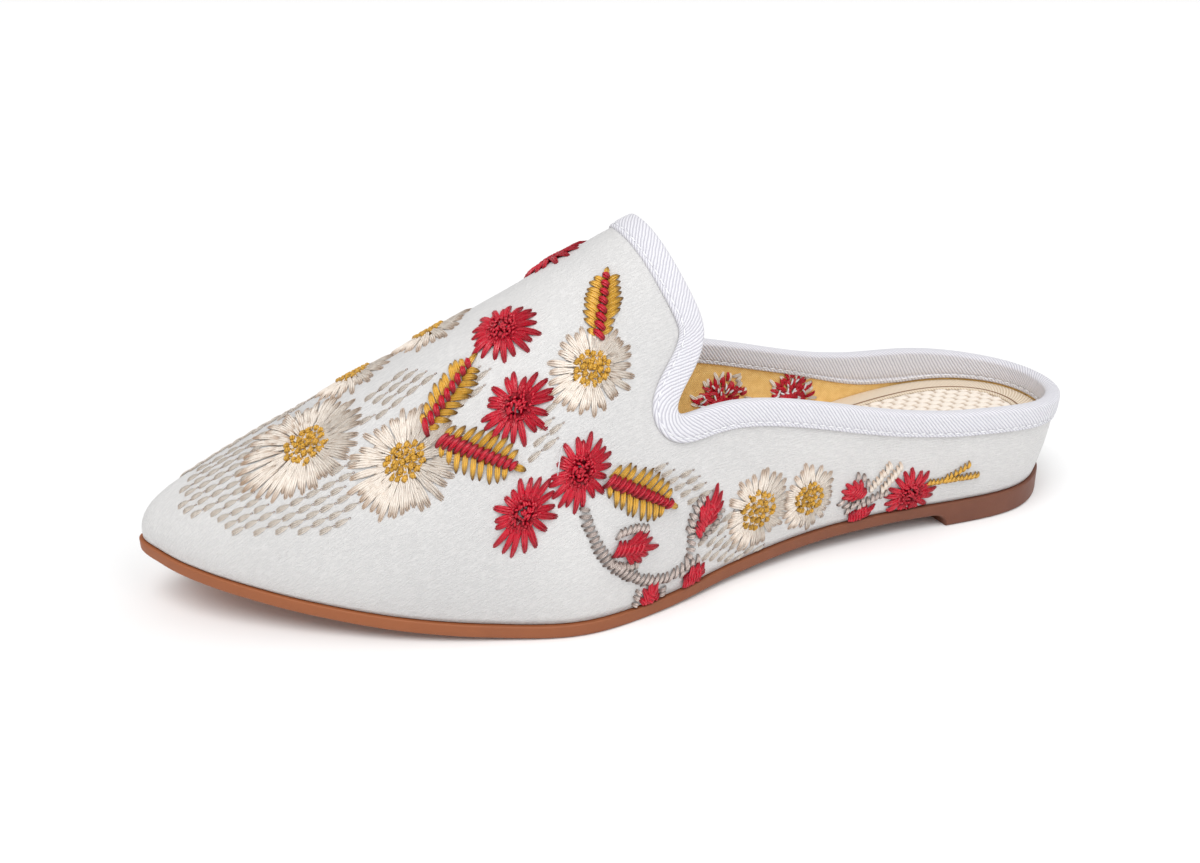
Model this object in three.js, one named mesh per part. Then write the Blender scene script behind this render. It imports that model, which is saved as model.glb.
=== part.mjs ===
// A backless slipper with a pointed toe, left foot: outsole, upper, topline binding, insole and border.
// Millimetres. The toe points along -X, the outer side of the foot is -Y and +Z is up.
import * as THREE from "three";

// Driving sizes
const LENGTH = 255; // outsole, from toe tip to heel
const SOLE_THICKNESS = 3.4;
const WALL = 1.8; // satin, interlining and twill lining together
const GAP = 0.3; // clearance between neighbouring pieces
const WELT = 1.0; // how far the outsole stands out beyond the upper
const TOE_SPRING = 14.5; // height of the outsole's underside at the toe tip
const SPRING_END = 101; // where the forefoot's flat begins
const WAIST_START = 114; // where the forefoot's flat ends
const WAIST_RISE = 3.7; // height of the waist at the heel's breast
const WAIST_BOW = 0.9; // extra arch in the middle of the waist
const BREAST = 208; // where the waist ends at the low heel
const BREAST_START = 11.62; // station where the heel's hollow breast begins
const BREAST_END = 11.84; // station where it has come down to the ground
const TAPE_WIDTH = 5.8; // what shows of the binding on each face
const TAPE = 0.8; // thickness of the folded binding
const TAPE_GAP = 0.42; // its clearance from the wall, for the tight corners
const BORDER_WIDTH = 8; // strip round the insole's edge
const BORDER = 0.8; // its thickness
const BORDER_START = 5.6; // station where the strip begins on either side
const STEP_RUN = 0.2; // stations over which the step for the strip comes down
const SOLE_BEVEL = 0.7; // rounding of the outsole's lower edge
const INSOLE_EDGE = 0.4; // least height of the insole's edge

// The last, a row for each station from the toe to the heel.
// at: place of the spine from the toe tip; turn: degrees from square across, from -90 at the toe to 90;
// mid: the spine's place across; near, far: from the spine to the outsole's edge, outer and inner side;
// ridge: height of the last's top; leanNear, leanFar: how far the wall's handle leans out;
// rise: its height as a share of the wall; shoulder: how broad the top is, as a share of the radius.
const COLUMNS = ["at", "turn", "mid", "near", "far", "ridge", "leanNear", "leanFar", "rise", "shoulder"];
const LAST = [
  [15.5, -90, 11.0, 15.5, 15.5, 33.5, 1.0, 1.0, 0.45, 0.55],
  [16.6, -60, 10.8, 14.9, 14.2, 34.0, 1.5, 1.5, 0.45, 0.56],
  [20, -34, 10.0, 17.4, 15.8, 35.8, 2.0, 2.0, 0.45, 0.58],
  [27, -16, 8.6, 22.2, 19.8, 39.6, 2.5, 2.5, 0.46, 0.6],
  [40, -6, 6.0, 28.9, 26.0, 46.0, 3.0, 3.0, 0.48, 0.6],
  [57, -2, 3.0, 35.3, 32.0, 54.5, 3.5, 3.5, 0.5, 0.58],
  [76, 0, 0.4, 40.1, 36.2, 64.0, 4.0, 4.0, 0.5, 0.54],
  [98, 0, -1.6, 43.6, 37.4, 75.5, 3.0, 3.0, 0.5, 0.5],
  [120, 0, -2.6, 38.8, 33.6, 86.5, 3.0, 4.0, 0.5, 0.46],
  [143, 0, -2.8, 31.1, 27.4, 94.0, 5.0, 7.0, 0.5, 0.46],
  [168, 0, -2.5, 26.2, 23.6, 96.0, 9.0, 11.0, 0.5, 0.5],
  [194, 0, -1.9, 25.4, 24.0, 94.0, 8.0, 10.0, 0.5, 0.55],
  [212, 5, -1.4, 26.3, 25.6, 92.0, 8.0, 9.0, 0.5, 0.55],
  [223, 24, -1.0, 27.4, 27.0, 91.0, 9.0, 9.0, 0.5, 0.55],
  [228, 55, -0.6, 26.4, 26.4, 90.0, 12.0, 12.0, 0.5, 0.55],
  [229, 90, -0.4, 26.0, 26.0, 90.0, 13.0, 13.0, 0.5, 0.55],
];
const HEEL = LAST.length - 1; // the last station, at the back of the heel
const LOOP = 2 * HEEL; // stations in the whole loop, back along the inner side

// The topline, from the throat's peak on the ridge to the back of the heel, the same on both sides.
// station: place along the last; climb: share of the way from the feather edge to the ridge.
const TOPLINE = [
  { station: 8.31, climb: 1.0 },
  { station: 8.33, climb: 0.92 },
  { station: 8.39, climb: 0.82 },
  { station: 8.48, climb: 0.71 },
  { station: 8.6, climb: 0.6 },
  { station: 8.71, climb: 0.515 },
  { station: 8.56, climb: 0.457 },
  { station: 8.34, climb: 0.42 },
  { station: 8.2, climb: 0.385 },
  { station: 8.28, climb: 0.347 },
  { station: 8.66, climb: 0.341 },
  { station: 9.1, climb: 0.328 },
  { station: 9.7, climb: 0.296 },
  { station: 10.3, climb: 0.258 },
  { station: 10.95, climb: 0.222 },
  { station: 11.75, climb: 0.209 },
  { station: 12.6, climb: 0.205 },
  { station: 13.4, climb: 0.192 },
  { station: 14.2, climb: 0.183 },
  { station: 15, climb: 0.179 },
];
const TOPLINE_END = TOPLINE.length - 1;
const CORNER = 8; // row of the topline where the throat meets the quarter

// Height of the insole's top, by its place from the toe tip
const FOOTBED = [
  { at: 0, height: 20.5 },
  { at: 40, height: 12.0 },
  { at: 80, height: 7.6 },
  { at: 120, height: 8.4 },
  { at: 160, height: 14.0 },
  { at: 200, height: 21.0 },
  { at: 240, height: 23.2 },
  { at: 280, height: 23.2 },
];

const clamp = (value, low, high) => Math.min(high, Math.max(low, value));
const ease = (share) => share * share * (3 - 2 * share);
const range = (count) => Array.from({ length: count }, (_, index) => index);

// Smooth curve through four evenly numbered values
function through(a, b, c, d, f) {
  const bend = 2 * a - 5 * b + 4 * c - d;
  return 0.5 * (2 * b + (c - a) * f + bend * f * f + (3 * b - a - 3 * c + d) * f ** 3);
}

// Smooth curve drawn towards four evenly numbered values
function towards(a, b, c, d, f) {
  const weights = [(1 - f) ** 3, 3 * f ** 3 - 6 * f * f + 4, -3 * f ** 3 + 3 * f * f + 3 * f + 1, f ** 3];
  return (weights[0] * a + weights[1] * b + weights[2] * c + weights[3] * d) / 6;
}

// One row of the last as named values, for a whole station anywhere in the loop
function lastRow(index) {
  const turns = Math.floor(index / LOOP);
  const within = index - turns * LOOP;
  const inner = within > HEEL;
  const values = LAST[inner ? LOOP - within : within];
  const row = Object.fromEntries(COLUMNS.map((name, column) => [name, values[column]]));
  const before = LAST[Math.max((inner ? LOOP - within : within) - 1, 0)];
  const after = LAST[Math.min((inner ? LOOP - within : within) + 1, HEEL)];
  const ridgeAt = COLUMNS.indexOf("ridge");
  return {
    at: row.at,
    mid: row.mid,
    ridge: row.ridge,
    rise: row.rise,
    shoulder: row.shoulder,
    slope: (after[ridgeAt] - before[ridgeAt]) / (after[0] - before[0]),
    angle: THREE.MathUtils.degToRad((inner ? 180 - row.turn : row.turn) + 360 * turns),
    radius: inner ? row.far : row.near,
    lean: inner ? row.leanFar : row.leanNear,
  };
}

const ROWS = new Map();
function cachedRow(index) {
  if (!ROWS.has(index)) ROWS.set(index, lastRow(index));
  return ROWS.get(index);
}

// The last's measures at any station of the loop: 0 is the toe, HEEL the heel and LOOP the toe again
function measures(station) {
  const base = Math.floor(station);
  const rows = [-1, 0, 1, 2].map((step) => cachedRow(base + step));
  const blend = (name) => through(...rows.map((row) => row[name]), station - base);
  return Object.fromEntries(Object.keys(rows[0]).map((name) => [name, blend(name)]));
}

// Height of the outsole's underside without its heel
function waistHeight(at) {
  const spring = TOE_SPRING * clamp((SPRING_END - at) / SPRING_END, 0, 1) ** 2;
  const share = clamp((at - WAIST_START) / (BREAST - WAIST_START), 0, 1);
  return spring + WAIST_RISE * ease(share) + WAIST_BOW * Math.sin(Math.PI * share);
}

// Height of the outsole's underside at a station, with its heel, whose breast is a hollow curve
const underside = (station) => (at) => {
  const from = Math.min(station, LOOP - station);
  const share = clamp((from - BREAST_START) / (BREAST_END - BREAST_START), 0, 1);
  return waistHeight(at) * Math.sqrt(1 - share * share);
};

const soleTop = (at) => waistHeight(at) + SOLE_THICKNESS;

// A point over the plan: from the spine outwards at a station, at a distance and height
function planPoint(m, distance, height) {
  const at = m.at + Math.sin(m.angle) * distance;
  const y = m.mid - Math.cos(m.angle) * distance;
  return new THREE.Vector3(at - LENGTH / 2, y, typeof height === "function" ? height(at) : height);
}

// The last's surface at a station and a climb, 0 at the feather edge and 1 at the ridge
function lastPoint(station, climb) {
  const m = measures(station);
  const foot = m.radius - WELT;
  const footHeight = soleTop(m.at + Math.sin(m.angle) * foot) + GAP;
  const top = m.shoulder * m.radius;
  const c = climb;
  const w = [(1 - c) ** 3, 3 * (1 - c) ** 2 * c, 3 * (1 - c) * c * c, c ** 3];
  const distance = w[0] * foot + w[1] * (foot + m.lean) + w[2] * top;
  const handle = footHeight + m.rise * (m.ridge - footHeight);
  const brow = m.ridge + m.slope * Math.sin(m.angle) * top;
  return planPoint(m, distance, w[0] * footHeight + w[1] * handle + w[2] * brow + w[3] * m.ridge);
}

// The last's outward normal
function lastNormal(station, climb) {
  const step = 1e-3;
  const along = lastPoint(station + step, climb).sub(lastPoint(station - step, climb));
  const up = lastPoint(station, climb + step).sub(lastPoint(station, climb - step));
  return along.cross(up).normalize();
}

// A point at a depth below the last's surface, negative above it
function offsetPoint(station, climb, depth) {
  return lastPoint(station, climb).addScaledVector(lastNormal(station, climb), -depth);
}

// The topline at a place along its table
function toplineAt(place) {
  const pick = (index) => {
    const row = TOPLINE[index < 0 ? -index : index > TOPLINE_END ? 2 * TOPLINE_END - index : index];
    if (index < 0) return { station: row.station, climb: 2 - row.climb };
    if (index > TOPLINE_END) return { station: 2 * HEEL - row.station, climb: row.climb };
    return row;
  };
  const base = Math.min(Math.floor(place), TOPLINE_END - 1);
  const rows = [-1, 0, 1, 2].map((step) => pick(base + step));
  const draw = (name) => towards(...rows.map((row) => row[name]), place - base);
  return { station: draw("station"), climb: draw("climb") };
}

// The same place on the outer side, or mirrored to the inner side of the loop
const onSide = (station, inner) => (inner ? LOOP - station : station);

// A mesh from vertices and faces with shared corners, as a plain geometry
function toMesh(name, points, faces, material) {
  const geometry = new THREE.BufferGeometry().setFromPoints(points);
  geometry.setIndex(faces.flat());
  geometry.computeVertexNormals();
  const mesh = new THREE.Mesh(geometry, material);
  mesh.name = name;
  return mesh;
}

// Two triangles for a four-sided patch
const patch = (a, b, c, d) => [[a, b, c], [a, c, d]];

// A closed ring of sections, each a closed loop of the same count of points
function ringSolid(name, sections, material, closed = true) {
  const count = sections[0].length;
  const points = sections.flat();
  const faces = [];
  const last = closed ? sections.length : sections.length - 1;
  for (const i of range(last)) {
    const next = (i + 1) % sections.length;
    for (const j of range(count)) {
      const k = (j + 1) % count;
      faces.push(...patch(i * count + j, next * count + j, next * count + k, i * count + k));
    }
  }
  if (!closed) {
    for (const j of range(count - 2)) {
      const end = (sections.length - 1) * count;
      faces.push([0, j + 1, j + 2], [end, end + j + 2, end + j + 1]);
    }
  }
  return toMesh(name, points, faces, material);
}

// Upper: a vamp from the toe to the throat and two quarters to the heel, as one hollow wall
const VAMP_STEPS = 21;
const THROAT_STEPS = 16;
const WALL_STEPS = 5;
const QUARTER_STEPS = 22;

// Upper's surface as a table of places (station, climb) with the faces between them
function upperPlaces() {
  const places = [];
  const index = new Map();
  const faces = [];
  const place = (station, climb) => {
    const loop = ((station % LOOP) + LOOP) % LOOP;
    const spot = climb > 1 - 1e-9 ? Math.min(loop, LOOP - loop) : loop;
    const key = `${spot.toFixed(6)} ${climb.toFixed(6)}`;
    if (!index.has(key)) {
      index.set(key, places.length);
      places.push({ station: spot, climb });
    }
    return index.get(key);
  };
  const corner = toplineAt(CORNER);
  const wall = range(WALL_STEPS).map((j) => {
    return { station: corner.station, climb: (corner.climb * j) / WALL_STEPS };
  });
  const throat = range(THROAT_STEPS + 1).map((j) => toplineAt(CORNER * (1 - j / THROAT_STEPS)));
  const quarter = range(QUARTER_STEPS + 1).map((i) =>
    toplineAt(CORNER + ((TOPLINE_END - CORNER) * i) / QUARTER_STEPS),
  );
  quarter[QUARTER_STEPS] = { station: HEEL, climb: quarter[QUARTER_STEPS].climb };
  throat[THROAT_STEPS].climb = 1;
  for (const inner of [false, true]) {
    const add = (a, b, c, d) => {
      const corners = inner ? [a, d, c, b] : [a, b, c, d];
      const ids = corners.map((spot) => place(onSide(spot.station, inner), spot.climb));
      for (const face of patch(...ids)) if (new Set(face).size === 3) faces.push(face);
    };
    const edge = [...wall, ...throat];
    for (const j of range(edge.length - 1)) {
      for (const i of range(VAMP_STEPS)) {
        const spot = (row, step) => ({ station: (row.station * step) / VAMP_STEPS, climb: row.climb });
        add(spot(edge[j], i), spot(edge[j], i + 1), spot(edge[j + 1], i + 1), spot(edge[j + 1], i));
      }
    }
    for (const i of range(QUARTER_STEPS)) {
      for (const j of range(WALL_STEPS)) {
        const spot = (row, step) => ({ station: row.station, climb: (row.climb * step) / WALL_STEPS });
        const [here, next] = [quarter[i], quarter[i + 1]];
        add(spot(here, j), spot(next, j), spot(next, j + 1), spot(here, j + 1));
      }
    }
  }
  return { places, faces };
}

// A surface given a wall: its outer and inner faces, joined along every free edge
function shell(name, outside, inside, faces, material) {
  const count = outside.length;
  const solid = faces.flatMap((face) => [face, [face[2] + count, face[1] + count, face[0] + count]]);
  const edges = new Set(faces.flatMap((f) => [0, 1, 2].map((i) => `${f[i]} ${f[(i + 1) % 3]}`)));
  for (const edge of edges) {
    const [a, b] = edge.split(" ").map(Number);
    if (!edges.has(`${b} ${a}`)) solid.push(...patch(b, a, a + count, b + count));
  }
  return toMesh(name, [...outside, ...inside], solid, material);
}

function makeUpper(material) {
  const { places, faces } = upperPlaces();
  const outside = places.map((spot) => lastPoint(spot.station, spot.climb));
  const inside = places.map((spot) => {
    const point = offsetPoint(spot.station, spot.climb, WALL);
    if (spot.climb === 0) point.z = Math.max(point.z, soleTop(point.x + LENGTH / 2) + GAP);
    return point;
  });
  return shell("upper", outside, inside, faces, material);
}

// Binding: a tape folded over the topline, with a leg down each face of the wall. It has a section at each
// of these places along the topline's table, closer together round the throat's corners.
const TAPE_PLACES = [
  ...[0, 0.75, 1.5, 2.25, 3, 3.6, 4.1, 4.5, 4.9, 5.3, 5.8, 6.4, 7, 7.4, 7.8, 8.1, 8.4, 8.7, 9.1, 9.6],
  ...[10.2, 11, 11.8, 12.6, 13.4, 14.2, 15, 15.6, 16.2, 16.7, 17.2, 17.7, 18.2, 18.6],
];
const LEG_SHARES = [0.04, 0.5, 1]; // points down each leg, as shares of its width
const SHOULDER_OUT = 0.75; // how far out the fold's shoulders are, as a share of the tape's stand
const SHOULDER_UP = 0.7; // and how far up

// Place at a distance below the topline, measured square to it over the last
function belowTopline(place, distance) {
  const step = 0.02;
  const here = toplineAt(place);
  const before = toplineAt(Math.max(place - step, 0));
  const after = toplineAt(Math.min(place + step, TOPLINE_END));
  const origin = lastPoint(here.station, here.climb);
  const along = lastPoint(after.station, after.climb).sub(lastPoint(before.station, before.climb));
  const down = along.cross(lastNormal(here.station, here.climb)).normalize();
  const grid = 1e-3;
  const byStation = lastPoint(here.station + grid, here.climb).sub(origin).divideScalar(grid);
  const byClimb = lastPoint(here.station, here.climb - grid).sub(origin).divideScalar(-grid);
  const a = byStation.dot(byStation);
  const b = byStation.dot(byClimb);
  const c = byClimb.dot(byClimb);
  const p = down.dot(byStation);
  const q = down.dot(byClimb);
  const det = a * c - b * b;
  return {
    station: here.station + (distance * (c * p - b * q)) / det,
    climb: here.climb + (distance * (a * q - b * p)) / det,
  };
}

function makeBinding(material) {
  const over = TAPE_GAP + TAPE;
  const section = (place, inner) => {
    const rim = toplineAt(place);
    const crest = offsetPoint(onSide(rim.station, inner), rim.climb, WALL);
    const room = crest.z - footbed(crest.x + LENGTH / 2) - 2 * GAP;
    const legs = LEG_SHARES.map((share) => share * TAPE_WIDTH);
    const insideLegs = LEG_SHARES.map((share) => share * Math.min(TAPE_WIDTH, room));
    const put = (distance, depth) => {
      const spot = belowTopline(place, distance);
      return offsetPoint(onSide(spot.station, inner), spot.climb, depth);
    };
    const lift = (depth, rise) => {
      const spot = belowTopline(place, 0);
      const other = belowTopline(place, 0.5);
      const base = offsetPoint(onSide(spot.station, inner), spot.climb, depth);
      const lower = offsetPoint(onSide(other.station, inner), other.climb, depth);
      return base.addScaledVector(base.clone().sub(lower).normalize(), rise);
    };
    return [
      ...[...legs].reverse().map((d) => put(d, -over)),
      lift(-over * SHOULDER_OUT, over * SHOULDER_UP),
      lift(WALL / 2, over),
      lift(WALL + over * SHOULDER_OUT, over * SHOULDER_UP),
      ...insideLegs.map((d) => put(d, WALL + over)),
      ...[...insideLegs].reverse().map((d) => put(d, WALL + TAPE_GAP)),
      lift(WALL + TAPE_GAP * 0.9, TAPE_GAP),
      lift(-TAPE_GAP * 0.9, TAPE_GAP),
      ...legs.map((d) => put(d, -TAPE_GAP)),
    ];
  };
  const sections = [
    ...TAPE_PLACES.map((place) => section(place, false)),
    ...[...TAPE_PLACES.slice(1), TOPLINE_END].reverse().map((place) => section(place, true)),
  ];
  return ringSolid("binding", sections, material);
}

// Outsole: a moulded plate with toe spring, waist and a low heel, drawn out from the spine
const EDGE_STATIONS = [
  ...range(33).map((i) => i / 3),
  ...[11, 11.35, BREAST_START, 11.7, 11.76, 11.8, 11.825, BREAST_END],
  ...[12, 12.35, 12.7, 13, 13.3, 13.6, 13.9, 14.2, 14.5, 14.75, 15],
];

// A solid between the spine and points on each station's ray, from the underside's spine to the top's
function plateSolid(name, stations, profile, material) {
  const points = [];
  const faces = [];
  const loop = [...stations, ...stations.slice(1, -1).reverse().map((station) => LOOP - station)];
  const count = profile(0).length;
  const spine = stations.map((station) => {
    const row = profile(station);
    points.push(row[0], row[count - 1]);
    return points.length - 2;
  });
  const ring = loop.map((station) => {
    points.push(...profile(station).slice(1, -1));
    return points.length - (count - 2);
  });
  for (const i of range(loop.length)) {
    const j = (i + 1) % loop.length;
    const fold = (index) => (index < stations.length ? index : 2 * stations.length - 2 - index);
    const low = [spine[fold(i)], spine[fold(j)]];
    for (const k of range(count - 3)) {
      faces.push(...patch(ring[i] + k, ring[j] + k, ring[j] + k + 1, ring[i] + k + 1));
    }
    faces.push(...patch(low[0], low[1], ring[j], ring[i]));
    faces.push(...patch(ring[i] + count - 3, ring[j] + count - 3, low[1] + 1, low[0] + 1));
  }
  return toMesh(name, points, faces, material);
}

function makeOutsole(material) {
  return plateSolid("outsole", EDGE_STATIONS, (station) => {
    const m = measures(station);
    const below = underside(station);
    const out = (share, inset, height) => planPoint(m, m.radius * share - inset, height);
    return [
      out(0, 0, below),
      out(0.5, 0, below),
      out(1, SOLE_BEVEL, below),
      out(1, 0, (at) => below(at) + SOLE_BEVEL),
      out(1, 0, (at) => soleTop(at) - SOLE_BEVEL / 2),
      out(1, SOLE_BEVEL / 2, soleTop),
      out(0.5, 0, soleTop),
      out(0, 0, soleTop),
    ];
  }, material);
}

// Height of the insole's top
function footbed(at) {
  const place = clamp(at / (FOOTBED[1].at - FOOTBED[0].at), 0, FOOTBED.length - 1.001);
  const base = Math.floor(place);
  const rows = [-1, 0, 1, 2].map((step) => FOOTBED[clamp(base + step, 0, FOOTBED.length - 1)].height);
  return through(...rows, place - base);
}

// Climb at which the last's surface reaches a height, found by halving
function climbTo(station, height) {
  const halvings = 30;
  let low = 0;
  let high = 0.6;
  for (const _ of range(halvings)) {
    const middle = (low + high) / 2;
    const point = lastPoint(station, middle);
    if (point.z < height(point.x + LENGTH / 2)) low = middle;
    else high = middle;
  }
  return low;
}

const INSIDE = WALL + GAP; // depth of the insole's edge below the last's surface

// Distance from the spine along a station's ray of a point
function distanceOut(m, point) {
  return Math.hypot(point.x + LENGTH / 2 - m.at, point.y - m.mid);
}

// The strip lies in a step of this depth at the insole's edge
const stepDepth = (station) => {
  const from = Math.min(station, LOOP - station);
  return clamp((from - BORDER_START) / STEP_RUN, 0, 1) * (BORDER + GAP);
};

function makeInsole(material) {
  const stations = range(3 * HEEL + 1).map((i) => i / 3);
  return plateSolid("insole", stations, (station) => {
    const m = measures(station);
    const step = stepDepth(station);
    const base = (at) => soleTop(at) + GAP;
    const lowered = (at) => footbed(at) - step;
    const top = climbTo(station, lowered);
    const wall = (share) => offsetPoint(station, top * share, INSIDE);
    const foot = wall(0);
    foot.z = Math.max(foot.z, base(foot.x + LENGTH / 2));
    const rim = wall(1);
    const edge = distanceOut(m, rim);
    const bottom = distanceOut(m, foot);
    rim.z = Math.max(lowered(rim.x + LENGTH / 2), foot.z + INSOLE_EDGE);
    const out = (distance, height) => planPoint(m, distance, height);
    return [
      out(0, base),
      out(bottom * 0.5, base),
      foot,
      wall(0.5),
      rim,
      out(edge - BORDER_WIDTH, lowered),
      out(edge - BORDER_WIDTH - GAP, footbed),
      out((edge - BORDER_WIDTH) * 0.5, footbed),
      out(0, footbed),
    ];
  }, material);
}

// Insole border: a strip round the heel and along both sides, in the step of the insole
function makeBorder(material) {
  const first = BORDER_START + 0.35;
  const count = 60;
  const sections = range(count + 1).map((i) => {
    const station = first + ((LOOP - 2 * first) * i) / count;
    const m = measures(station);
    const lowered = (at) => footbed(at) - BORDER;
    const rim = offsetPoint(station, climbTo(station, footbed), INSIDE);
    const edge = distanceOut(m, rim) - GAP / 2;
    const out = (distance, height) => planPoint(m, distance, height);
    const inner = edge - BORDER_WIDTH + GAP;
    return [out(edge, footbed), out(inner, footbed), out(inner, lowered), out(edge - 0.2, lowered)];
  });
  return ringSolid("insole_border", sections, material, false);
}

const finish = (color, roughness) => new THREE.MeshStandardMaterial({ color, roughness, metalness: 0 });

const slipper = new THREE.Group();
slipper.name = "slipper";
slipper.add(
  makeOutsole(finish(0x9c5a38, 0.55)),
  makeUpper(finish(0xe9e8e8, 0.6)),
  makeBinding(finish(0xeeeaf2, 0.75)),
  makeInsole(finish(0xeee2cc, 0.85)),
  makeBorder(finish(0xdcc7a4, 0.8)),
);

// The origin is the middle of the slipper's box, on the ground
const box = new THREE.Box3().setFromObject(slipper);
const middle = box.getCenter(new THREE.Vector3());
slipper.position.set(-middle.x, -middle.y, -box.min.z);

export default slipper;
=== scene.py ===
"""A backless slipper with a pointed toe, for the left foot: its visible pieces, finishes, light and camera.

Lengths are in millimetres over the last and become metres in the pieces. The toe points along -X, the outer side
of the foot is -Y and +Z is up.
"""

from __future__ import annotations

import logging
import math
from dataclasses import dataclass, field
from enum import Enum
from typing import Any, Iterable, Sequence

import bpy
import numpy as np
from mathutils import Matrix, Vector

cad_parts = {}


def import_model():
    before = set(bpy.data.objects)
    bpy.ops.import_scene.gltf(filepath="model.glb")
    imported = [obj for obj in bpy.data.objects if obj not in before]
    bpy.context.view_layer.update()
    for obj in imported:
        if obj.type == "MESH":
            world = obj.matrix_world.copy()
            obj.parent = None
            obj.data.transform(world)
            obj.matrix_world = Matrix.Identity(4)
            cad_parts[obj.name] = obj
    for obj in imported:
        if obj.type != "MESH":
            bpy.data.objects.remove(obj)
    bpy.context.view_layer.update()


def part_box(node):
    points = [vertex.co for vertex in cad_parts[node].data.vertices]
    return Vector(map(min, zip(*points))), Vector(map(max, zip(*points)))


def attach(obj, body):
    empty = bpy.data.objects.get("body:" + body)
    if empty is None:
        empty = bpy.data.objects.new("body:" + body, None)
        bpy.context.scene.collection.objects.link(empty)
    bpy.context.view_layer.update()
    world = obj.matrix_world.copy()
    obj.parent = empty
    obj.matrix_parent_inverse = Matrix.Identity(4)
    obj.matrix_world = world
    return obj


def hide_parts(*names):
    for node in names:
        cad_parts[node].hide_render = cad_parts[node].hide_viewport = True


log = logging.getLogger("slipper")

MM = 0.001  # metres in a millimetre
BODY = "root"
Array = np.ndarray


class Side(Enum):
    """The two sides of the shoe, from the toe to the heel."""

    OUTER = 0
    INNER = 1


# ---------------------------------------------------------------- shape of the last


def ease(share: Array | float) -> Array:
    """A smooth step from 0 to 1."""
    share = np.clip(share, 0.0, 1.0)
    return share * share * (3 - 2 * share)


def through(rows: Sequence[Array], f: Array) -> Array:
    """A smooth curve through four evenly numbered values."""
    a, b, c, d = rows
    return 0.5 * (2 * b + (c - a) * f + (2 * a - 5 * b + 4 * c - d) * f**2 + (3 * b - a - 3 * c + d) * f**3)


def towards(rows: Sequence[Array], f: Array) -> Array:
    """A smooth curve drawn towards four evenly numbered values."""
    a, b, c, d = rows
    return ((1 - f) ** 3 * a + (3 * f**3 - 6 * f**2 + 4) * b + (-3 * f**3 + 3 * f**2 + 3 * f + 1) * c + f**3 * d) / 6


def unit(vectors: Array) -> Array:
    """Vectors at length one."""
    return vectors / np.maximum(np.linalg.norm(vectors, axis=-1, keepdims=True), 1e-12)


# at: place of the spine from the toe tip; turn: degrees from square across; mid: the spine's place across;
# near, far: from the spine to the outsole's edge on the outer and inner side; ridge: height of the top;
# lean_near, lean_far: how far the wall leans out; rise: its height as a share; shoulder: how broad the top is.
LAST_ROWS = (
    (15.5, -90, 11.0, 15.5, 15.5, 33.5, 1.0, 1.0, 0.45, 0.55),
    (16.6, -60, 10.8, 14.9, 14.2, 34.0, 1.5, 1.5, 0.45, 0.56),
    (20, -34, 10.0, 17.4, 15.8, 35.8, 2.0, 2.0, 0.45, 0.58),
    (27, -16, 8.6, 22.2, 19.8, 39.6, 2.5, 2.5, 0.46, 0.6),
    (40, -6, 6.0, 28.9, 26.0, 46.0, 3.0, 3.0, 0.48, 0.6),
    (57, -2, 3.0, 35.3, 32.0, 54.5, 3.5, 3.5, 0.5, 0.58),
    (76, 0, 0.4, 40.1, 36.2, 64.0, 4.0, 4.0, 0.5, 0.54),
    (98, 0, -1.6, 43.6, 37.4, 75.5, 3.0, 3.0, 0.5, 0.5),
    (120, 0, -2.6, 38.8, 33.6, 86.5, 3.0, 4.0, 0.5, 0.46),
    (143, 0, -2.8, 31.1, 27.4, 94.0, 5.0, 7.0, 0.5, 0.46),
    (168, 0, -2.5, 26.2, 23.6, 96.0, 9.0, 11.0, 0.5, 0.5),
    (194, 0, -1.9, 25.4, 24.0, 94.0, 8.0, 10.0, 0.5, 0.55),
    (212, 5, -1.4, 26.3, 25.6, 92.0, 8.0, 9.0, 0.5, 0.55),
    (223, 24, -1.0, 27.4, 27.0, 91.0, 9.0, 9.0, 0.5, 0.55),
    (228, 55, -0.6, 26.4, 26.4, 90.0, 12.0, 12.0, 0.5, 0.55),
    (229, 90, -0.4, 26.0, 26.0, 90.0, 13.0, 13.0, 0.5, 0.55),
)
HEEL = len(LAST_ROWS) - 1  # the last station, at the back of the heel
LOOP = 2 * HEEL  # stations in the whole loop, back along the inner side

# (station, climb) of the topline, from the throat's peak on the ridge to the back of the heel
TOPLINE = np.array(
    (
        (8.31, 1.0),
        (8.33, 0.92),
        (8.39, 0.82),
        (8.48, 0.71),
        (8.6, 0.6),
        (8.71, 0.515),
        (8.56, 0.457),
        (8.34, 0.42),
        (8.2, 0.385),
        (8.28, 0.347),
        (8.66, 0.341),
        (9.1, 0.328),
        (9.7, 0.296),
        (10.3, 0.258),
        (10.95, 0.222),
        (11.75, 0.209),
        (12.6, 0.205),
        (13.4, 0.192),
        (14.2, 0.183),
        (15, 0.179),
    )
)
TOPLINE_END = len(TOPLINE) - 1
CORNER = 8  # row of the topline where the throat meets the quarter


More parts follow.
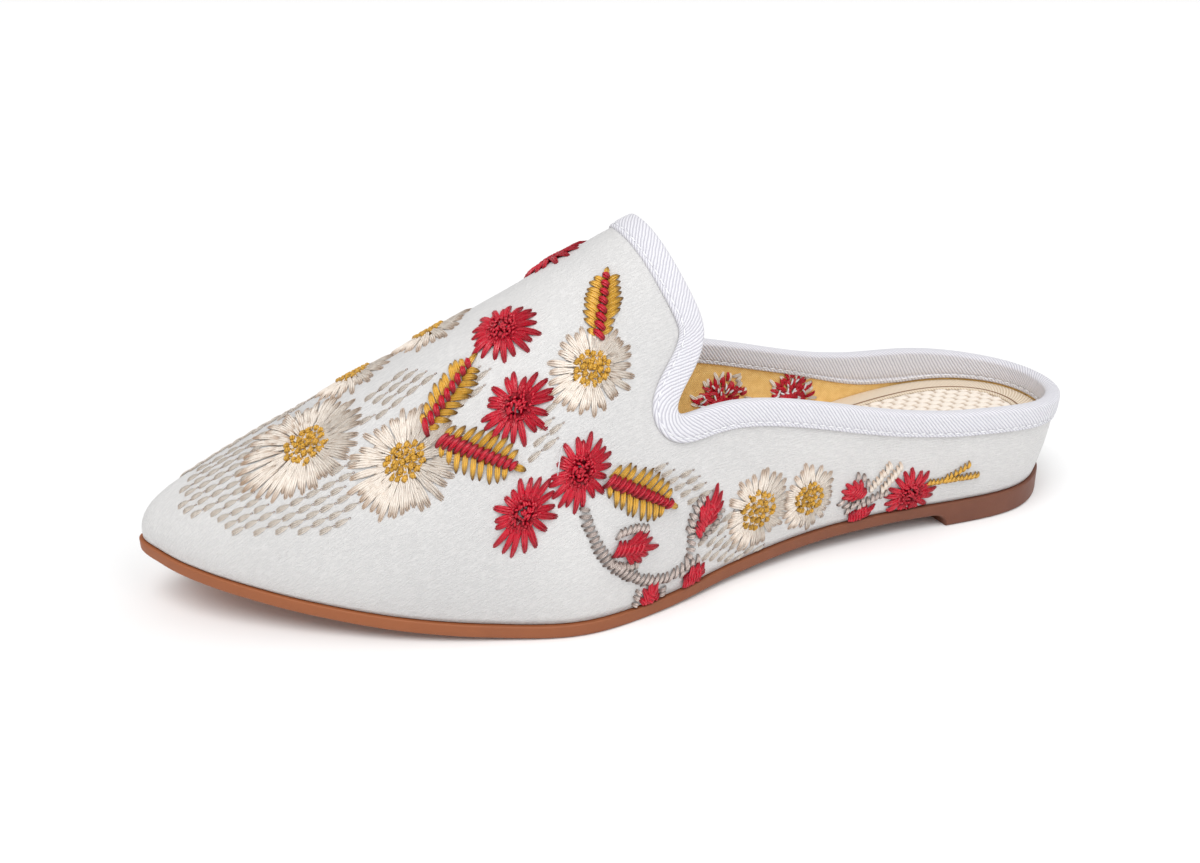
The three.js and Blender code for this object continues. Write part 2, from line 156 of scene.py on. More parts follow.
@dataclass
class Last:
    """The foot shape that every piece is laid over, by station round the shoe and climb up its wall."""

    length: float = 255.0
    sole: float = 3.4
    welt: float = 1.0
    gap: float = 0.3
    toe_spring: float = 14.5
    spring_end: float = 101.0
    waist_start: float = 114.0
    waist_rise: float = 3.7
    waist_bow: float = 0.9
    breast: float = 208.0
    breast_start: float = 11.62
    breast_end: float = 11.84
    footbed_step: float = 40.0
    footbed_heights: tuple[float, ...] = (20.5, 12.0, 7.6, 8.4, 14.0, 21.0, 23.2, 23.2)
    blend_start: float = 8.6
    blend_length: float = 2.0
    shift: Array = field(default_factory=lambda: np.zeros(3))

    def __post_init__(self) -> None:
        """Prepares the rows of the whole loop and the tables of arc lengths."""
        rows = [self._row(index) for index in range(-3, LOOP + 4)]
        self._rows = np.array(rows)
        self._grid_s = np.linspace(0, LOOP, 10 * LOOP + 1)
        self._grid_c = np.linspace(0, 1, 61)
        s, c = np.meshgrid(self._grid_s, self._grid_c, indexing="ij")
        points = self.point(s, c)
        steps = np.linalg.norm(np.diff(points, axis=1), axis=-1)
        self._foot_arc = np.concatenate([np.zeros((len(steps), 1)), np.cumsum(steps, axis=1)], axis=1)
        edge = np.linalg.norm(np.diff(points[:, 0], axis=0), axis=-1)
        self._edge_arc = np.concatenate([[0.0], np.cumsum(edge)])
        half = self._grid_s <= HEEL
        ridge = np.linalg.norm(np.diff(points[half][:, -1], axis=0), axis=-1)
        self._ridge_arc = np.concatenate([[0.0], np.cumsum(ridge)])
        self._ridge_s = self._grid_s[half]

    @staticmethod
    def _row(index: int) -> list[float]:
        """The measures at a whole station anywhere in the loop.

        Args:
            index: the station, before 0 or past the loop's end too.

        Returns:
            at, mid, ridge, rise, shoulder, slope, angle, radius and lean.
        """
        turns, within = divmod(index, LOOP)
        inner = within > HEEL
        own = LOOP - within if inner else within
        at, turn, mid, near, far, ridge, lean_near, lean_far, rise, shoulder = LAST_ROWS[own]
        before, after = LAST_ROWS[max(own - 1, 0)], LAST_ROWS[min(own + 1, HEEL)]
        slope = (after[5] - before[5]) / (after[0] - before[0])
        angle = math.radians((180 - turn if inner else turn) + 360 * turns)
        radius, lean = (far, lean_far) if inner else (near, lean_near)
        return [at, mid, ridge, rise, shoulder, slope, angle, radius, lean]

    def measures(self, station: Array) -> dict[str, Array]:
        """The last's measures at stations of the loop.

        Args:
            station: 0 is the toe, HEEL the back of the heel and LOOP the toe again.

        Returns:
            Each measure by its name.
        """
        base = np.floor(station).astype(int)
        rows = [self._rows[base + 3 + step] for step in (-1, 0, 1, 2)]
        blend = through(rows, (station - base)[..., None])
        names = ("at", "mid", "ridge", "rise", "shoulder", "slope", "angle", "radius", "lean")
        return {name: blend[..., place] for place, name in enumerate(names)}

    def waist_height(self, at: Array) -> Array:
        """Height of the outsole's underside without its heel."""
        spring = self.toe_spring * np.clip((self.spring_end - at) / self.spring_end, 0, 1) ** 2
        share = np.clip((at - self.waist_start) / (self.breast - self.waist_start), 0, 1)
        return spring + self.waist_rise * ease(share) + self.waist_bow * np.sin(np.pi * share)

    def sole_top(self, at: Array) -> Array:
        """Height of the outsole's top."""
        return self.waist_height(at) + self.sole

    def underside(self, station: Array, at: Array) -> Array:
        """Height of the outsole's underside with its heel, whose breast is a hollow curve."""
        near = np.minimum(station, LOOP - station)
        share = np.clip((near - self.breast_start) / (self.breast_end - self.breast_start), 0, 1)
        return self.waist_height(at) * np.sqrt(1 - share * share)

    def footbed(self, at: Array) -> Array:
        """Height of the insole's top."""
        heights = np.array(self.footbed_heights)
        place = np.clip(at / self.footbed_step, 0, len(heights) - 1.001)
        base = np.floor(place).astype(int)
        rows = [heights[np.clip(base + step, 0, len(heights) - 1)] for step in (-1, 0, 1, 2)]
        return through(rows, place - base)

    def plan(self, m: dict[str, Array], distance: Array) -> tuple[Array, Array]:
        """Place from the toe tip and place across, at a distance from the spine."""
        return m["at"] + np.sin(m["angle"]) * distance, m["mid"] - np.cos(m["angle"]) * distance

    def standing(self, at: Array, across: Array, height: Array) -> Array:
        """Points at places from the toe tip, places across and heights."""
        return np.stack([at - self.length / 2, across, height], axis=-1)

    def ring(self, m: dict[str, Array], distance: Array, height: Any) -> Array:
        """Points at a distance from the spine, at the height that their place from the toe tip gives."""
        at, across = self.plan(m, distance)
        return self.standing(at, across, height(at))

    def point(self, station: Array, climb: Array) -> Array:
        """Points on the last's surface.

        Args:
            station: stations of the loop.
            climb: 0 at the feather edge, 1 at the ridge, and over 1 down the other side.

        Returns:
            Points in millimetres.
        """
        station, climb = np.broadcast_arrays(np.asarray(station, float), np.asarray(climb, float))
        over = climb > 1
        station = np.where(over, LOOP - station, station) % LOOP
        c = np.where(over, 2 - climb, climb)
        m = self.measures(station)
        foot = m["radius"] - self.welt
        at, _ = self.plan(m, foot)
        foot_height = self.sole_top(at) + self.gap
        top = m["shoulder"] * m["radius"]
        w = (1 - c) ** 3, 3 * (1 - c) ** 2 * c, 3 * (1 - c) * c * c, c**3
        distance = w[0] * foot + w[1] * (foot + m["lean"]) + w[2] * top
        handle = foot_height + m["rise"] * (m["ridge"] - foot_height)
        brow = m["ridge"] + m["slope"] * np.sin(m["angle"]) * top
        height = w[0] * foot_height + w[1] * handle + w[2] * brow + w[3] * m["ridge"]
        at, across = self.plan(m, distance)
        return self.standing(at, across, height)

    def normal(self, station: Array, climb: Array) -> Array:
        """Outward normals of the last's surface."""
        step = 2e-3
        station, climb = np.broadcast_arrays(np.asarray(station, float), np.asarray(climb, float))
        along = self.point(station + step, climb) - self.point(station - step, climb)
        up = self.point(station, climb + step) - self.point(station, climb - step)
        return unit(np.cross(along, up))

    def lifted(self, station: Array, climb: Array, lift: Array | float) -> Array:
        """Points at a height over the last's surface."""
        height = np.asarray(lift, float)
        return self.point(station, climb) + self.normal(station, climb) * height[..., None]

    def _arcs(self, station: Array, climb: Array) -> tuple[Array, Array]:
        """Arc length up the wall from the feather edge, and the whole of it to the ridge."""
        s = np.clip(station, 0, LOOP) / LOOP * (len(self._grid_s) - 1)
        c = np.clip(climb, 0, 1) * (len(self._grid_c) - 1)
        i = np.minimum(s.astype(int), len(self._grid_s) - 2)
        j = np.minimum(c.astype(int), len(self._grid_c) - 2)
        f, g = s - i, c - j
        table = self._foot_arc
        low = table[i, j] * (1 - f) + table[i + 1, j] * f
        high = table[i, j + 1] * (1 - f) + table[i + 1, j + 1] * f
        return low * (1 - g) + high * g, table[i, -1] * (1 - f) + table[i + 1, -1] * f

    def cloth(self, station: Array, climb: Array) -> Array:
        """Where a place of the upper lies on its cloth when that is laid flat.

        Over the vamp the cloth is measured out from the ridge, and along the quarters up from the feather edge.

        Args:
            station: stations of the loop.
            climb: climbs, over 1 on the other side of the ridge.

        Returns:
            Places along and across the cloth in millimetres.
        """
        station, climb = np.broadcast_arrays(np.asarray(station, float), np.asarray(climb, float))
        over = climb > 1
        s = np.where(over, LOOP - station, station)
        c = np.where(over, 2 - climb, climb)
        inner = s > HEEL
        own = np.where(inner, LOOP - s, s)
        m = self.measures(np.clip(s, 0, LOOP))
        up, whole = self._arcs(s, c)
        down = whole - up
        ridge = np.interp(own, self._ridge_s, self._ridge_arc)
        vamp = np.stack([ridge + np.sin(m["angle"]) * down, m["mid"] - np.cos(m["angle"]) * down], axis=-1)
        edge = np.interp(s, self._grid_s, self._edge_arc)
        edge = np.where(inner, self._edge_arc[-1] - edge, edge)
        middle = self.blend_start + self.blend_length / 2
        quarter = []
        for inside in (False, True):
            at = LOOP - middle if inside else middle
            there = self.measures(np.array(at))
            _, total = self._arcs(np.array(at), np.array(1.0))
            start = np.interp(at, self._grid_s, self._edge_arc)
            start = self._edge_arc[-1] - start if inside else start
            along = edge - start + np.interp(middle, self._ridge_s, self._ridge_arc)
            sign = 1 if inside else -1
            quarter.append(np.stack([along, there["mid"] + sign * (total - up)], axis=-1))
        quarter = np.where(inner[..., None], quarter[1], quarter[0])
        share = ease((own - self.blend_start) / self.blend_length)[..., None]
        return vamp * (1 - share) + quarter * share

    def find(self, cloth: Array, home: Array) -> tuple[Array, Array]:
        """Stations and climbs of places on the flat cloth.

        Args:
            cloth: places along and across the cloth in millimetres.
            home: a station and a climb near each, where the search starts.

        Returns:
            Stations and climbs.
        """
        s, c = np.broadcast_to(home, cloth.shape)[..., 0].copy(), np.broadcast_to(home, cloth.shape)[..., 1].copy()
        step_s, step_c, most_s, most_c = 0.02, 0.01, 0.4, 0.12
        for _ in range(12):
            here = self.cloth(s, c)
            by_s = (self.cloth(s + step_s, c) - self.cloth(s - step_s, c)) / (2 * step_s)
            by_c = (self.cloth(s, c + step_c) - self.cloth(s, c - step_c)) / (2 * step_c)
            off = cloth - here
            det = by_s[..., 0] * by_c[..., 1] - by_s[..., 1] * by_c[..., 0]
            det = np.where(np.abs(det) < 1e-6, 1e-6, det)
            ds = (off[..., 0] * by_c[..., 1] - off[..., 1] * by_c[..., 0]) / det
            dc = (off[..., 1] * by_s[..., 0] - off[..., 0] * by_s[..., 1]) / det
            s = s + np.clip(ds, -most_s, most_s)
            c = c + np.clip(dc, -most_c, most_c)
        return s, c

    def topline(self, place: Array) -> tuple[Array, Array]:
        """Station and climb of the topline at places along its table."""
        place = np.asarray(place, float)
        base = np.minimum(np.floor(place).astype(int), TOPLINE_END - 1)
        rows = []
        for step in (-1, 0, 1, 2):
            index = base + step
            row = TOPLINE[np.where(index < 0, -index, np.where(index > TOPLINE_END, 2 * TOPLINE_END - index, index))]
            before = np.stack([row[..., 0], 2 - row[..., 1]], axis=-1)
            after = np.stack([2 * HEEL - row[..., 0], row[..., 1]], axis=-1)
            row = np.where((index < 0)[..., None], before, row)
            rows.append(np.where((index > TOPLINE_END)[..., None], after, row))
        drawn = towards(rows, (place - base)[..., None])
        return drawn[..., 0], drawn[..., 1]

    def corner(self) -> float:
        """Place along the topline's table where the throat turns into the quarter, farthest towards the toe."""
        places = np.linspace(CORNER - 0.5, CORNER + 0.5, 2001)
        return float(places[np.argmin(self.topline(places)[0])])

    def below_topline(self, place: Array, distance: Array) -> tuple[Array, Array]:
        """Places at a distance below the topline, measured square to it.

        Args:
            place: places along the topline's table.
            distance: distances in millimetres.

        Returns:
            Stations and climbs.
        """
        step, grid = 0.02, 1e-3
        s, c = self.topline(place)
        before = self.topline(np.maximum(place - step, 0))
        after = self.topline(np.minimum(place + step, TOPLINE_END))
        origin = self.point(s, c)
        down = unit(np.cross(self.point(*after) - self.point(*before), self.normal(s, c)))
        by_s = (self.point(s + grid, c) - origin) / grid
        by_c = (self.point(s, c - grid) - origin) / -grid
        dot = lambda one, two: (one * two).sum(-1)
        a, b, e = dot(by_s, by_s), dot(by_s, by_c), dot(by_c, by_c)
        p, q = dot(down, by_s), dot(down, by_c)
        det = a * e - b * b
        return s + distance * (e * p - b * q) / det, c + distance * (a * q - b * p) / det

    def climb_to(self, station: Array, height: Any) -> Array:
        """Climbs at which the last's surface reaches a height given by the place from the toe tip."""
        low, high = np.zeros_like(station), np.full_like(station, 0.6)
        for _ in range(30):
            middle = (low + high) / 2
            point = self.point(station, middle)
            under = point[..., 2] < height(point[..., 0] + self.length / 2)
            low, high = np.where(under, middle, low), np.where(under, high, middle)
        return low

    def metres(self, points: Array) -> Array:
        """Points of the last in the frame's metres."""
        return (points + self.shift) * MM


# ---------------------------------------------------------------- meshes


@dataclass
class Patch:
    """A grid of points with a value of cloth for each, ready to become faces."""

    points: Array
    cloth: Array
    material: int = 0
    flip: bool = False
    wrap: bool = False


def weld(points: Array, decimals: int = 5) -> tuple[Array, Array]:
    """Merges points that coincide.

    Args:
        points: points in millimetres.
        decimals: how finely they are told apart.

    Returns:
        The single points, and the place among them of each given one.
    """
    keys = np.round(points, decimals) + 0.0
    _, first, inverse = np.unique(keys, axis=0, return_index=True, return_inverse=True)
    return points[first], inverse.reshape(-1)


def enclosed(points: Array, faces: Sequence[Sequence[int]]) -> float:
    """Six times the room inside closed faces, below 0 where they point inwards."""
    corners = np.array([[face[0], face[1], face[2], face[-1]] for face in faces])
    a, b, c, d = (points[corners[:, k]] for k in range(4))
    return float((a * (np.cross(b, c) + np.cross(c, d))).sum())


def linked(name: str, data: Any) -> bpy.types.Object:
    """A new object with its data, linked to the scene."""
    made = bpy.data.objects.new(name, data)
    bpy.context.scene.collection.objects.link(made)
    return made


def patches_to_object(name: str, patches: Sequence[Patch], last: Last, merge: int = 4) -> bpy.types.Object:
    """Joins grids into one mesh object with a UV map in metres of cloth.

    Args:
        name: the object's name.
        patches: the grids, whose rows and columns become four-sided faces.
        last: the last, for the way to metres.
        merge: decimals of a millimetre within which neighbouring grids share their points.

    Returns:
        The object, linked to the scene.
    """
    points, cloth, quads, materials = [], [], [], []
    start = 0
    for patch in patches:
        rows, columns = patch.points.shape[:2]
        ids = np.arange(rows * columns).reshape(rows, columns) + start
        if patch.wrap:
            ids = np.concatenate([ids, ids[:, :1]], axis=1)
        corners = np.stack([ids[:-1, :-1], ids[:-1, 1:], ids[1:, 1:], ids[1:, :-1]], axis=-1).reshape(-1, 4)
        quads.append(corners[:, ::-1] if patch.flip else corners)
        materials.append(np.full(len(corners), patch.material))
        points.append(patch.points.reshape(-1, 3))
        cloth.append(patch.cloth.reshape(-1, 2))
        start += rows * columns
    points, cloth = np.concatenate(points), np.concatenate(cloth)
    quads, materials = np.concatenate(quads), np.concatenate(materials)
    single, place = weld(points, merge)
    faces, uvs, kept = [], [], []
    for quad, shared, material in zip(quads.tolist(), place[quads].tolist(), materials.tolist()):
        ids, corners = [], []
        for corner, vertex in zip(quad, shared):
            if vertex not in ids:
                ids.append(vertex)
                corners.append(corner)
        if len(ids) > 2:
            faces.append(ids)
            uvs.append(corners)
            kept.append(material)
    if enclosed(single, faces) < 0:
        faces, uvs = [ids[::-1] for ids in faces], [corners[::-1] for corners in uvs]
    uvs = [corner for corners in uvs for corner in corners]
    mesh = bpy.data.meshes.new(name)
    mesh.from_pydata(last.metres(single).tolist(), [], faces)
    mesh.polygons.foreach_set("material_index", np.array(kept, np.int32))
    layer = mesh.uv_layers.new(name="Cloth")
    layer.data.foreach_set("uv", (cloth[uvs] * MM).astype(np.float32).reshape(-1))
    mesh.shade_smooth()
    mesh.update()
    return linked(name, mesh)


def settle(piece: bpy.types.Object, nodes: Iterable[str] = ()) -> None:
    """Makes a finished piece ride on the shoe and stand for CAD nodes.

    Args:
        piece: the finished object.
        nodes: the nodes that it replaces.
    """
    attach(piece, BODY)
    if nodes:
        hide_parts(*nodes)
    piece.data.calc_loop_triangles()
    log.info("%s: %d triangles", piece.name, len(piece.data.loop_triangles))


# ---------------------------------------------------------------- shader language


class Value:
    """A number socket of a shader on which Python's operators add Math nodes."""

    def __init__(self, shader: Shader, socket: bpy.types.NodeSocket) -> None:
        """Wraps a socket of a shader."""
        self.shader = shader
        self.socket = socket

    def _math(self, operation: str, *values: Value | float) -> Value:
        """Adds a Math node."""
        return self.shader.value("ShaderNodeMath", {"operation": operation}, dict(enumerate(values)))

    def __add__(self, other: Value | float) -> Value:
        """Sum."""
        return self._math("ADD", self, other)

    def __radd__(self, other: float) -> Value:
        """Sum with a number first."""
        return self._math("ADD", other, self)

    def __sub__(self, other: Value | float) -> Value:
        """Difference."""
        return self._math("SUBTRACT", self, other)

    def __rsub__(self, other: float) -> Value:
        """Difference from a number."""
        return self._math("SUBTRACT", other, self)

    def __mul__(self, other: Value | float) -> Value:
        """Product."""
        return self._math("MULTIPLY", self, other)

    def __rmul__(self, other: float) -> Value:
        """Product with a number first."""
        return self._math("MULTIPLY", other, self)

    def sin(self) -> Value:
        """Sine."""
        return self._math("SINE", self)

    def wave(self, pitch: float) -> Value:
        """Goes from 0 to 1 and back once in every pitch."""
        return (self * (2 * math.pi / pitch)).sin() * 0.5 + 0.5

    def abs(self) -> Value:
        """Size without sign."""
        return self._math("ABSOLUTE", self)

    def ramp(self, low: float, high: float) -> Value:
        """Goes from 0 at low to 1 at high, smoothly."""
        settings = {"interpolation_type": "SMOOTHSTEP"}
        return self.shader.value("ShaderNodeMapRange", settings, {"Value": self, "From Min": low, "From Max": high})


Color = tuple[float, float, float]


class Shader:
    """A material under construction, with one Principled surface."""

    def __init__(self, name: str, **settings: float | Color) -> None:
        """Starts a material.

        Args:
            name: its name.
            settings: uniform values of the surface's sockets, with _ for a space in their names.
        """
        self.material = bpy.data.materials.new(name)
        self.material.use_nodes = True
        self.tree = self.material.node_tree
        self.tree.nodes.clear()
        self.surface = self.tree.nodes.new("ShaderNodeBsdfPrincipled")
        output = self.tree.nodes.new("ShaderNodeOutputMaterial")
        self.tree.links.new(self.surface.outputs["BSDF"], output.inputs["Surface"])
        for key, value in settings.items():
            self.feed(self.surface.inputs[key.replace("_", " ")], value)

    def feed(self, socket: bpy.types.NodeSocket, value: Any) -> None:
        """Links a value to a socket, or sets it."""
        if isinstance(value, Value):
            value = value.socket
        if isinstance(value, bpy.types.NodeSocket):
            self.tree.links.new(value, socket)
        elif isinstance(value, tuple) and len(value) == 3 and socket.type == "RGBA":
            socket.default_value = (*value, 1.0)
        else:
            socket.default_value = value

    def node(self, kind: str, settings: dict[str, Any], inputs: dict[str | int, Any]) -> bpy.types.Node:
        """Adds a node.

        Args:
            kind: the node's type.
            settings: its own settings, set first.
            inputs: the values or links of its sockets, by name or number.

        Returns:
            The node.
        """
        node = self.tree.nodes.new(kind)
        for key, value in settings.items():
            setattr(node, key, value)
        for key, value in inputs.items():
            self.feed(node.inputs[key], value)
        return node

    def value(self, kind: str, settings: dict[str, Any], inputs: dict[str | int, Any], output: int | str = 0) -> Value:
        """Adds a node and wraps one of its outputs."""
        return Value(self, self.node(kind, settings, inputs).outputs[output])

    def cloth(self) -> tuple[Value, Value]:
        """The piece's own UV map, in millimetres along and across."""
        uv = self.node("ShaderNodeUVMap", {"uv_map": "Cloth"}, {})
        scaled = self.node("ShaderNodeVectorMath", {"operation": "SCALE"}, {0: uv.outputs[0], "Scale": 1 / MM})
        parts = self.node("ShaderNodeSeparateXYZ", {}, {0: scaled.outputs[0]})
        return Value(self, parts.outputs[0]), Value(self, parts.outputs[1])

    def place(self) -> bpy.types.NodeSocket:
        """Object coordinates, which are metres of the frame."""
        return self.node("ShaderNodeTexCoord", {}, {}).outputs["Object"]

    def vector(self, x: Value | float, y: Value | float, z: Value | float = 0.0) -> bpy.types.NodeSocket:
        """A vector of three values."""
        return self.node("ShaderNodeCombineXYZ", {}, {0: x, 1: y, 2: z}).outputs[0]

    def noise(self, vector: bpy.types.NodeSocket, scale: float, detail: float = 2.0) -> Value:
        """A noise between about 0.3 and 0.7."""
        return self.value("ShaderNodeTexNoise", {}, {"Vector": vector, "Scale": scale, "Detail": detail})

    def mix(self, share: Value | float, one: Any, two: Any) -> bpy.types.NodeSocket:
        """A colour between two, by a share."""
        settings = {"data_type": "RGBA", "clamp_factor": True}
        node = self.node("ShaderNodeMix", settings, {})
        self.feed(node.inputs[0], share)
        self.feed(node.inputs[6], one)
        self.feed(node.inputs[7], two)
        return node.outputs[2]

    def relief(self, height: Value, depth: float) -> None:
        """Feeds a height, in shares of a depth in millimetres, to the surface's normal."""
        bump = self.node("ShaderNodeBump", {}, {"Height": height, "Distance": depth * MM, "Strength": 1.0})
        self.feed(self.surface.inputs["Normal"], bump.outputs[0])

    def color(self, color: Any) -> None:
        """Sets the surface's colour."""
        self.feed(self.surface.inputs["Base Color"], color)

    def roughness(self, value: Value) -> None:
        """Sets the surface's roughness."""
        self.feed(self.surface.inputs["Roughness"], value)


# ---------------------------------------------------------------- finishes


@dataclass(frozen=True)
class Satin:
    """Off-white slubbed satin."""

    pale: Color = (0.71, 0.70, 0.69)
    dull: Color = (0.54, 0.535, 0.535)
    slub: float = 0.12

    def material(self) -> bpy.types.Material:
        """The finished material."""
        shader = Shader("satin", Sheen_Weight=0.2, Sheen_Roughness=0.4, Specular_IOR_Level=0.4)
        along, across = shader.cloth()
        slubs = shader.noise(shader.vector(along * 0.42, across * 2.4), 1.0, 3.0)
        threads = shader.noise(shader.vector(along * 1.7, across * 4.6), 1.0, 2.0)
        cloud = shader.noise(shader.place(), 22.0, 3.0)
        streak = slubs.ramp(0.38, 0.62) * 0.5 + threads.ramp(0.3, 0.7) * 0.5
        shader.color(shader.mix(streak * 0.65 + cloud.ramp(0.3, 0.7) * 0.35, self.dull, self.pale))
        shader.roughness(0.52 - streak * 0.16)
        weave = (across * (2 * math.pi / 0.42)).sin() * (along * (2 * math.pi / 0.9)).sin()
        shader.relief(streak * 0.8 + weave * 0.12, self.slub)
        return shader.material


@dataclass(frozen=True)
class Lining:
    """Mustard cotton twill."""

    pale: Color = (0.97, 0.66, 0.25)
    deep: Color = (0.80, 0.48, 0.14)
    pitch: float = 0.75

    def material(self) -> bpy.types.Material:
        """The finished material."""
        shader = Shader("lining", Roughness=0.85, Sheen_Weight=0.2, Specular_IOR_Level=0.25)
        along, across = shader.cloth()
        rib = (along + across).wave(self.pitch)
        mottle = shader.noise(shader.vector(along * 0.5, across * 0.5), 1.0, 4.0).ramp(0.3, 0.7)
        shader.color(shader.mix(rib * 0.45 + mottle * 0.55, self.deep, self.pale))
        shader.relief(rib, 0.1)
        return shader.material


@dataclass(frozen=True)
class Tape:
    """White twill tape with fine slanting ribs."""

    pale: Color = (0.75, 0.745, 0.785)
    # groove: the painted shade between the ribs
    groove: Color = (0.50, 0.49, 0.55)
    pitch: float = 0.98

    def material(self) -> bpy.types.Material:
        """The finished material."""
        shader = Shader("twill_tape", Roughness=0.62, Sheen_Weight=0.3, Specular_IOR_Level=0.35)
        along, across = shader.cloth()
        wander = shader.noise(shader.vector(along * 0.7, across * 0.7), 1.0, 2.0)
        rib = (along * 0.85 + across * 0.95 + wander * 0.5).wave(self.pitch)
        yarn = (across - along * 0.6).wave(0.55)
        # Painted shade: the grooves between the ribs are coloured darker, as the shade in them.
        shader.color(shader.mix(rib.ramp(0.0, 0.55), self.groove, self.pale))
        shader.relief(rib * 0.8 + yarn * 0.2, 0.16)
        return shader.material


@dataclass(frozen=True)
class Rubber:
    """Smooth moulded rubber, darker towards the heel."""

    toe: Color = (0.31, 0.095, 0.031)
    heel: Color = (0.15, 0.050, 0.027)

    def material(self) -> bpy.types.Material:
        """The finished material."""
        shader = Shader("rubber", Specular_IOR_Level=0.4)
        place = shader.place()
        x = shader.value("ShaderNodeSeparateXYZ", {}, {0: place})
        mottle = shader.noise(place, 160.0, 4.0)
        grain = shader.noise(place, 1400.0, 2.0)
        tone = x.ramp(-0.1, 0.12) + (mottle - 0.5) * 0.35
        shader.color(shader.mix(tone, self.toe, self.heel))
        shader.roughness(0.46 + mottle * 0.16)
        shader.relief(grain, 0.05)
        return shader.material


@dataclass(frozen=True)
class Basket:
    """Cream plaited weave of chunky flat strands."""

    pale: Color = (0.87, 0.79, 0.70)
    # deep: the painted shade in the weave's dips
    deep: Color = (0.44, 0.32, 0.22)

    def material(self) -> bpy.types.Material:
        """The finished material."""
        shader = Shader("basket_weave", Roughness=0.72, Sheen_Weight=0.15, Specular_IOR_Level=0.3)
        along, across = shader.cloth()
        depth = shader.value("ShaderNodeAttribute", {"attribute_name": "weave"}, {}, "Fac")
        strands = along.wave(0.6)
        fleck = shader.noise(shader.vector(along * 0.8, across * 0.8), 1.0, 4.0).ramp(0.3, 0.7)
        # Painted shade: the colour darkens with the weave's depth, as the shade in the dips between the strands.
        shader.color(shader.mix(depth.ramp(-0.1, 0.75) * 0.9 + fleck * 0.1, self.deep, self.pale))
        shader.relief(strands * 0.6 + fleck * 0.4, 0.08)
        return shader.material


@dataclass(frozen=True)
class Ribbon:
    """Beige ribbed strip with a dark line along its inner edge, partly brown stitching and partly painted shade of the
    groove there.
    """

    pale: Color = (0.82, 0.71, 0.58)
    deep: Color = (0.62, 0.50, 0.36)
    line: Color = (0.24, 0.13, 0.07)

    def material(self) -> bpy.types.Material:
        """The finished material."""
        shader = Shader("ribbon", Roughness=0.75, Specular_IOR_Level=0.3)
        along, across = shader.cloth()
        rib = (along + across * 0.7).wave(0.9)
        # Partly painted shade: the dark line stands for brown stitching and the shade of the groove beside it.
        edge = 1 - (across - 7.0).abs().ramp(0.15, 0.4)
        shader.color(shader.mix(edge, shader.mix(rib, self.deep, self.pale), self.line))
        shader.relief(rib - edge * 0.6, 0.14)
        return shader.material


@dataclass(frozen=True)
class Plaster:
    """Plain pale floor."""

    pale: Color = (0.93, 0.93, 0.93)

    def material(self) -> bpy.types.Material:
        """The finished material."""
        return Shader("floor", Base_Color=self.pale, Roughness=0.9, Specular_IOR_Level=0.2).material


# ---------------------------------------------------------------- pieces


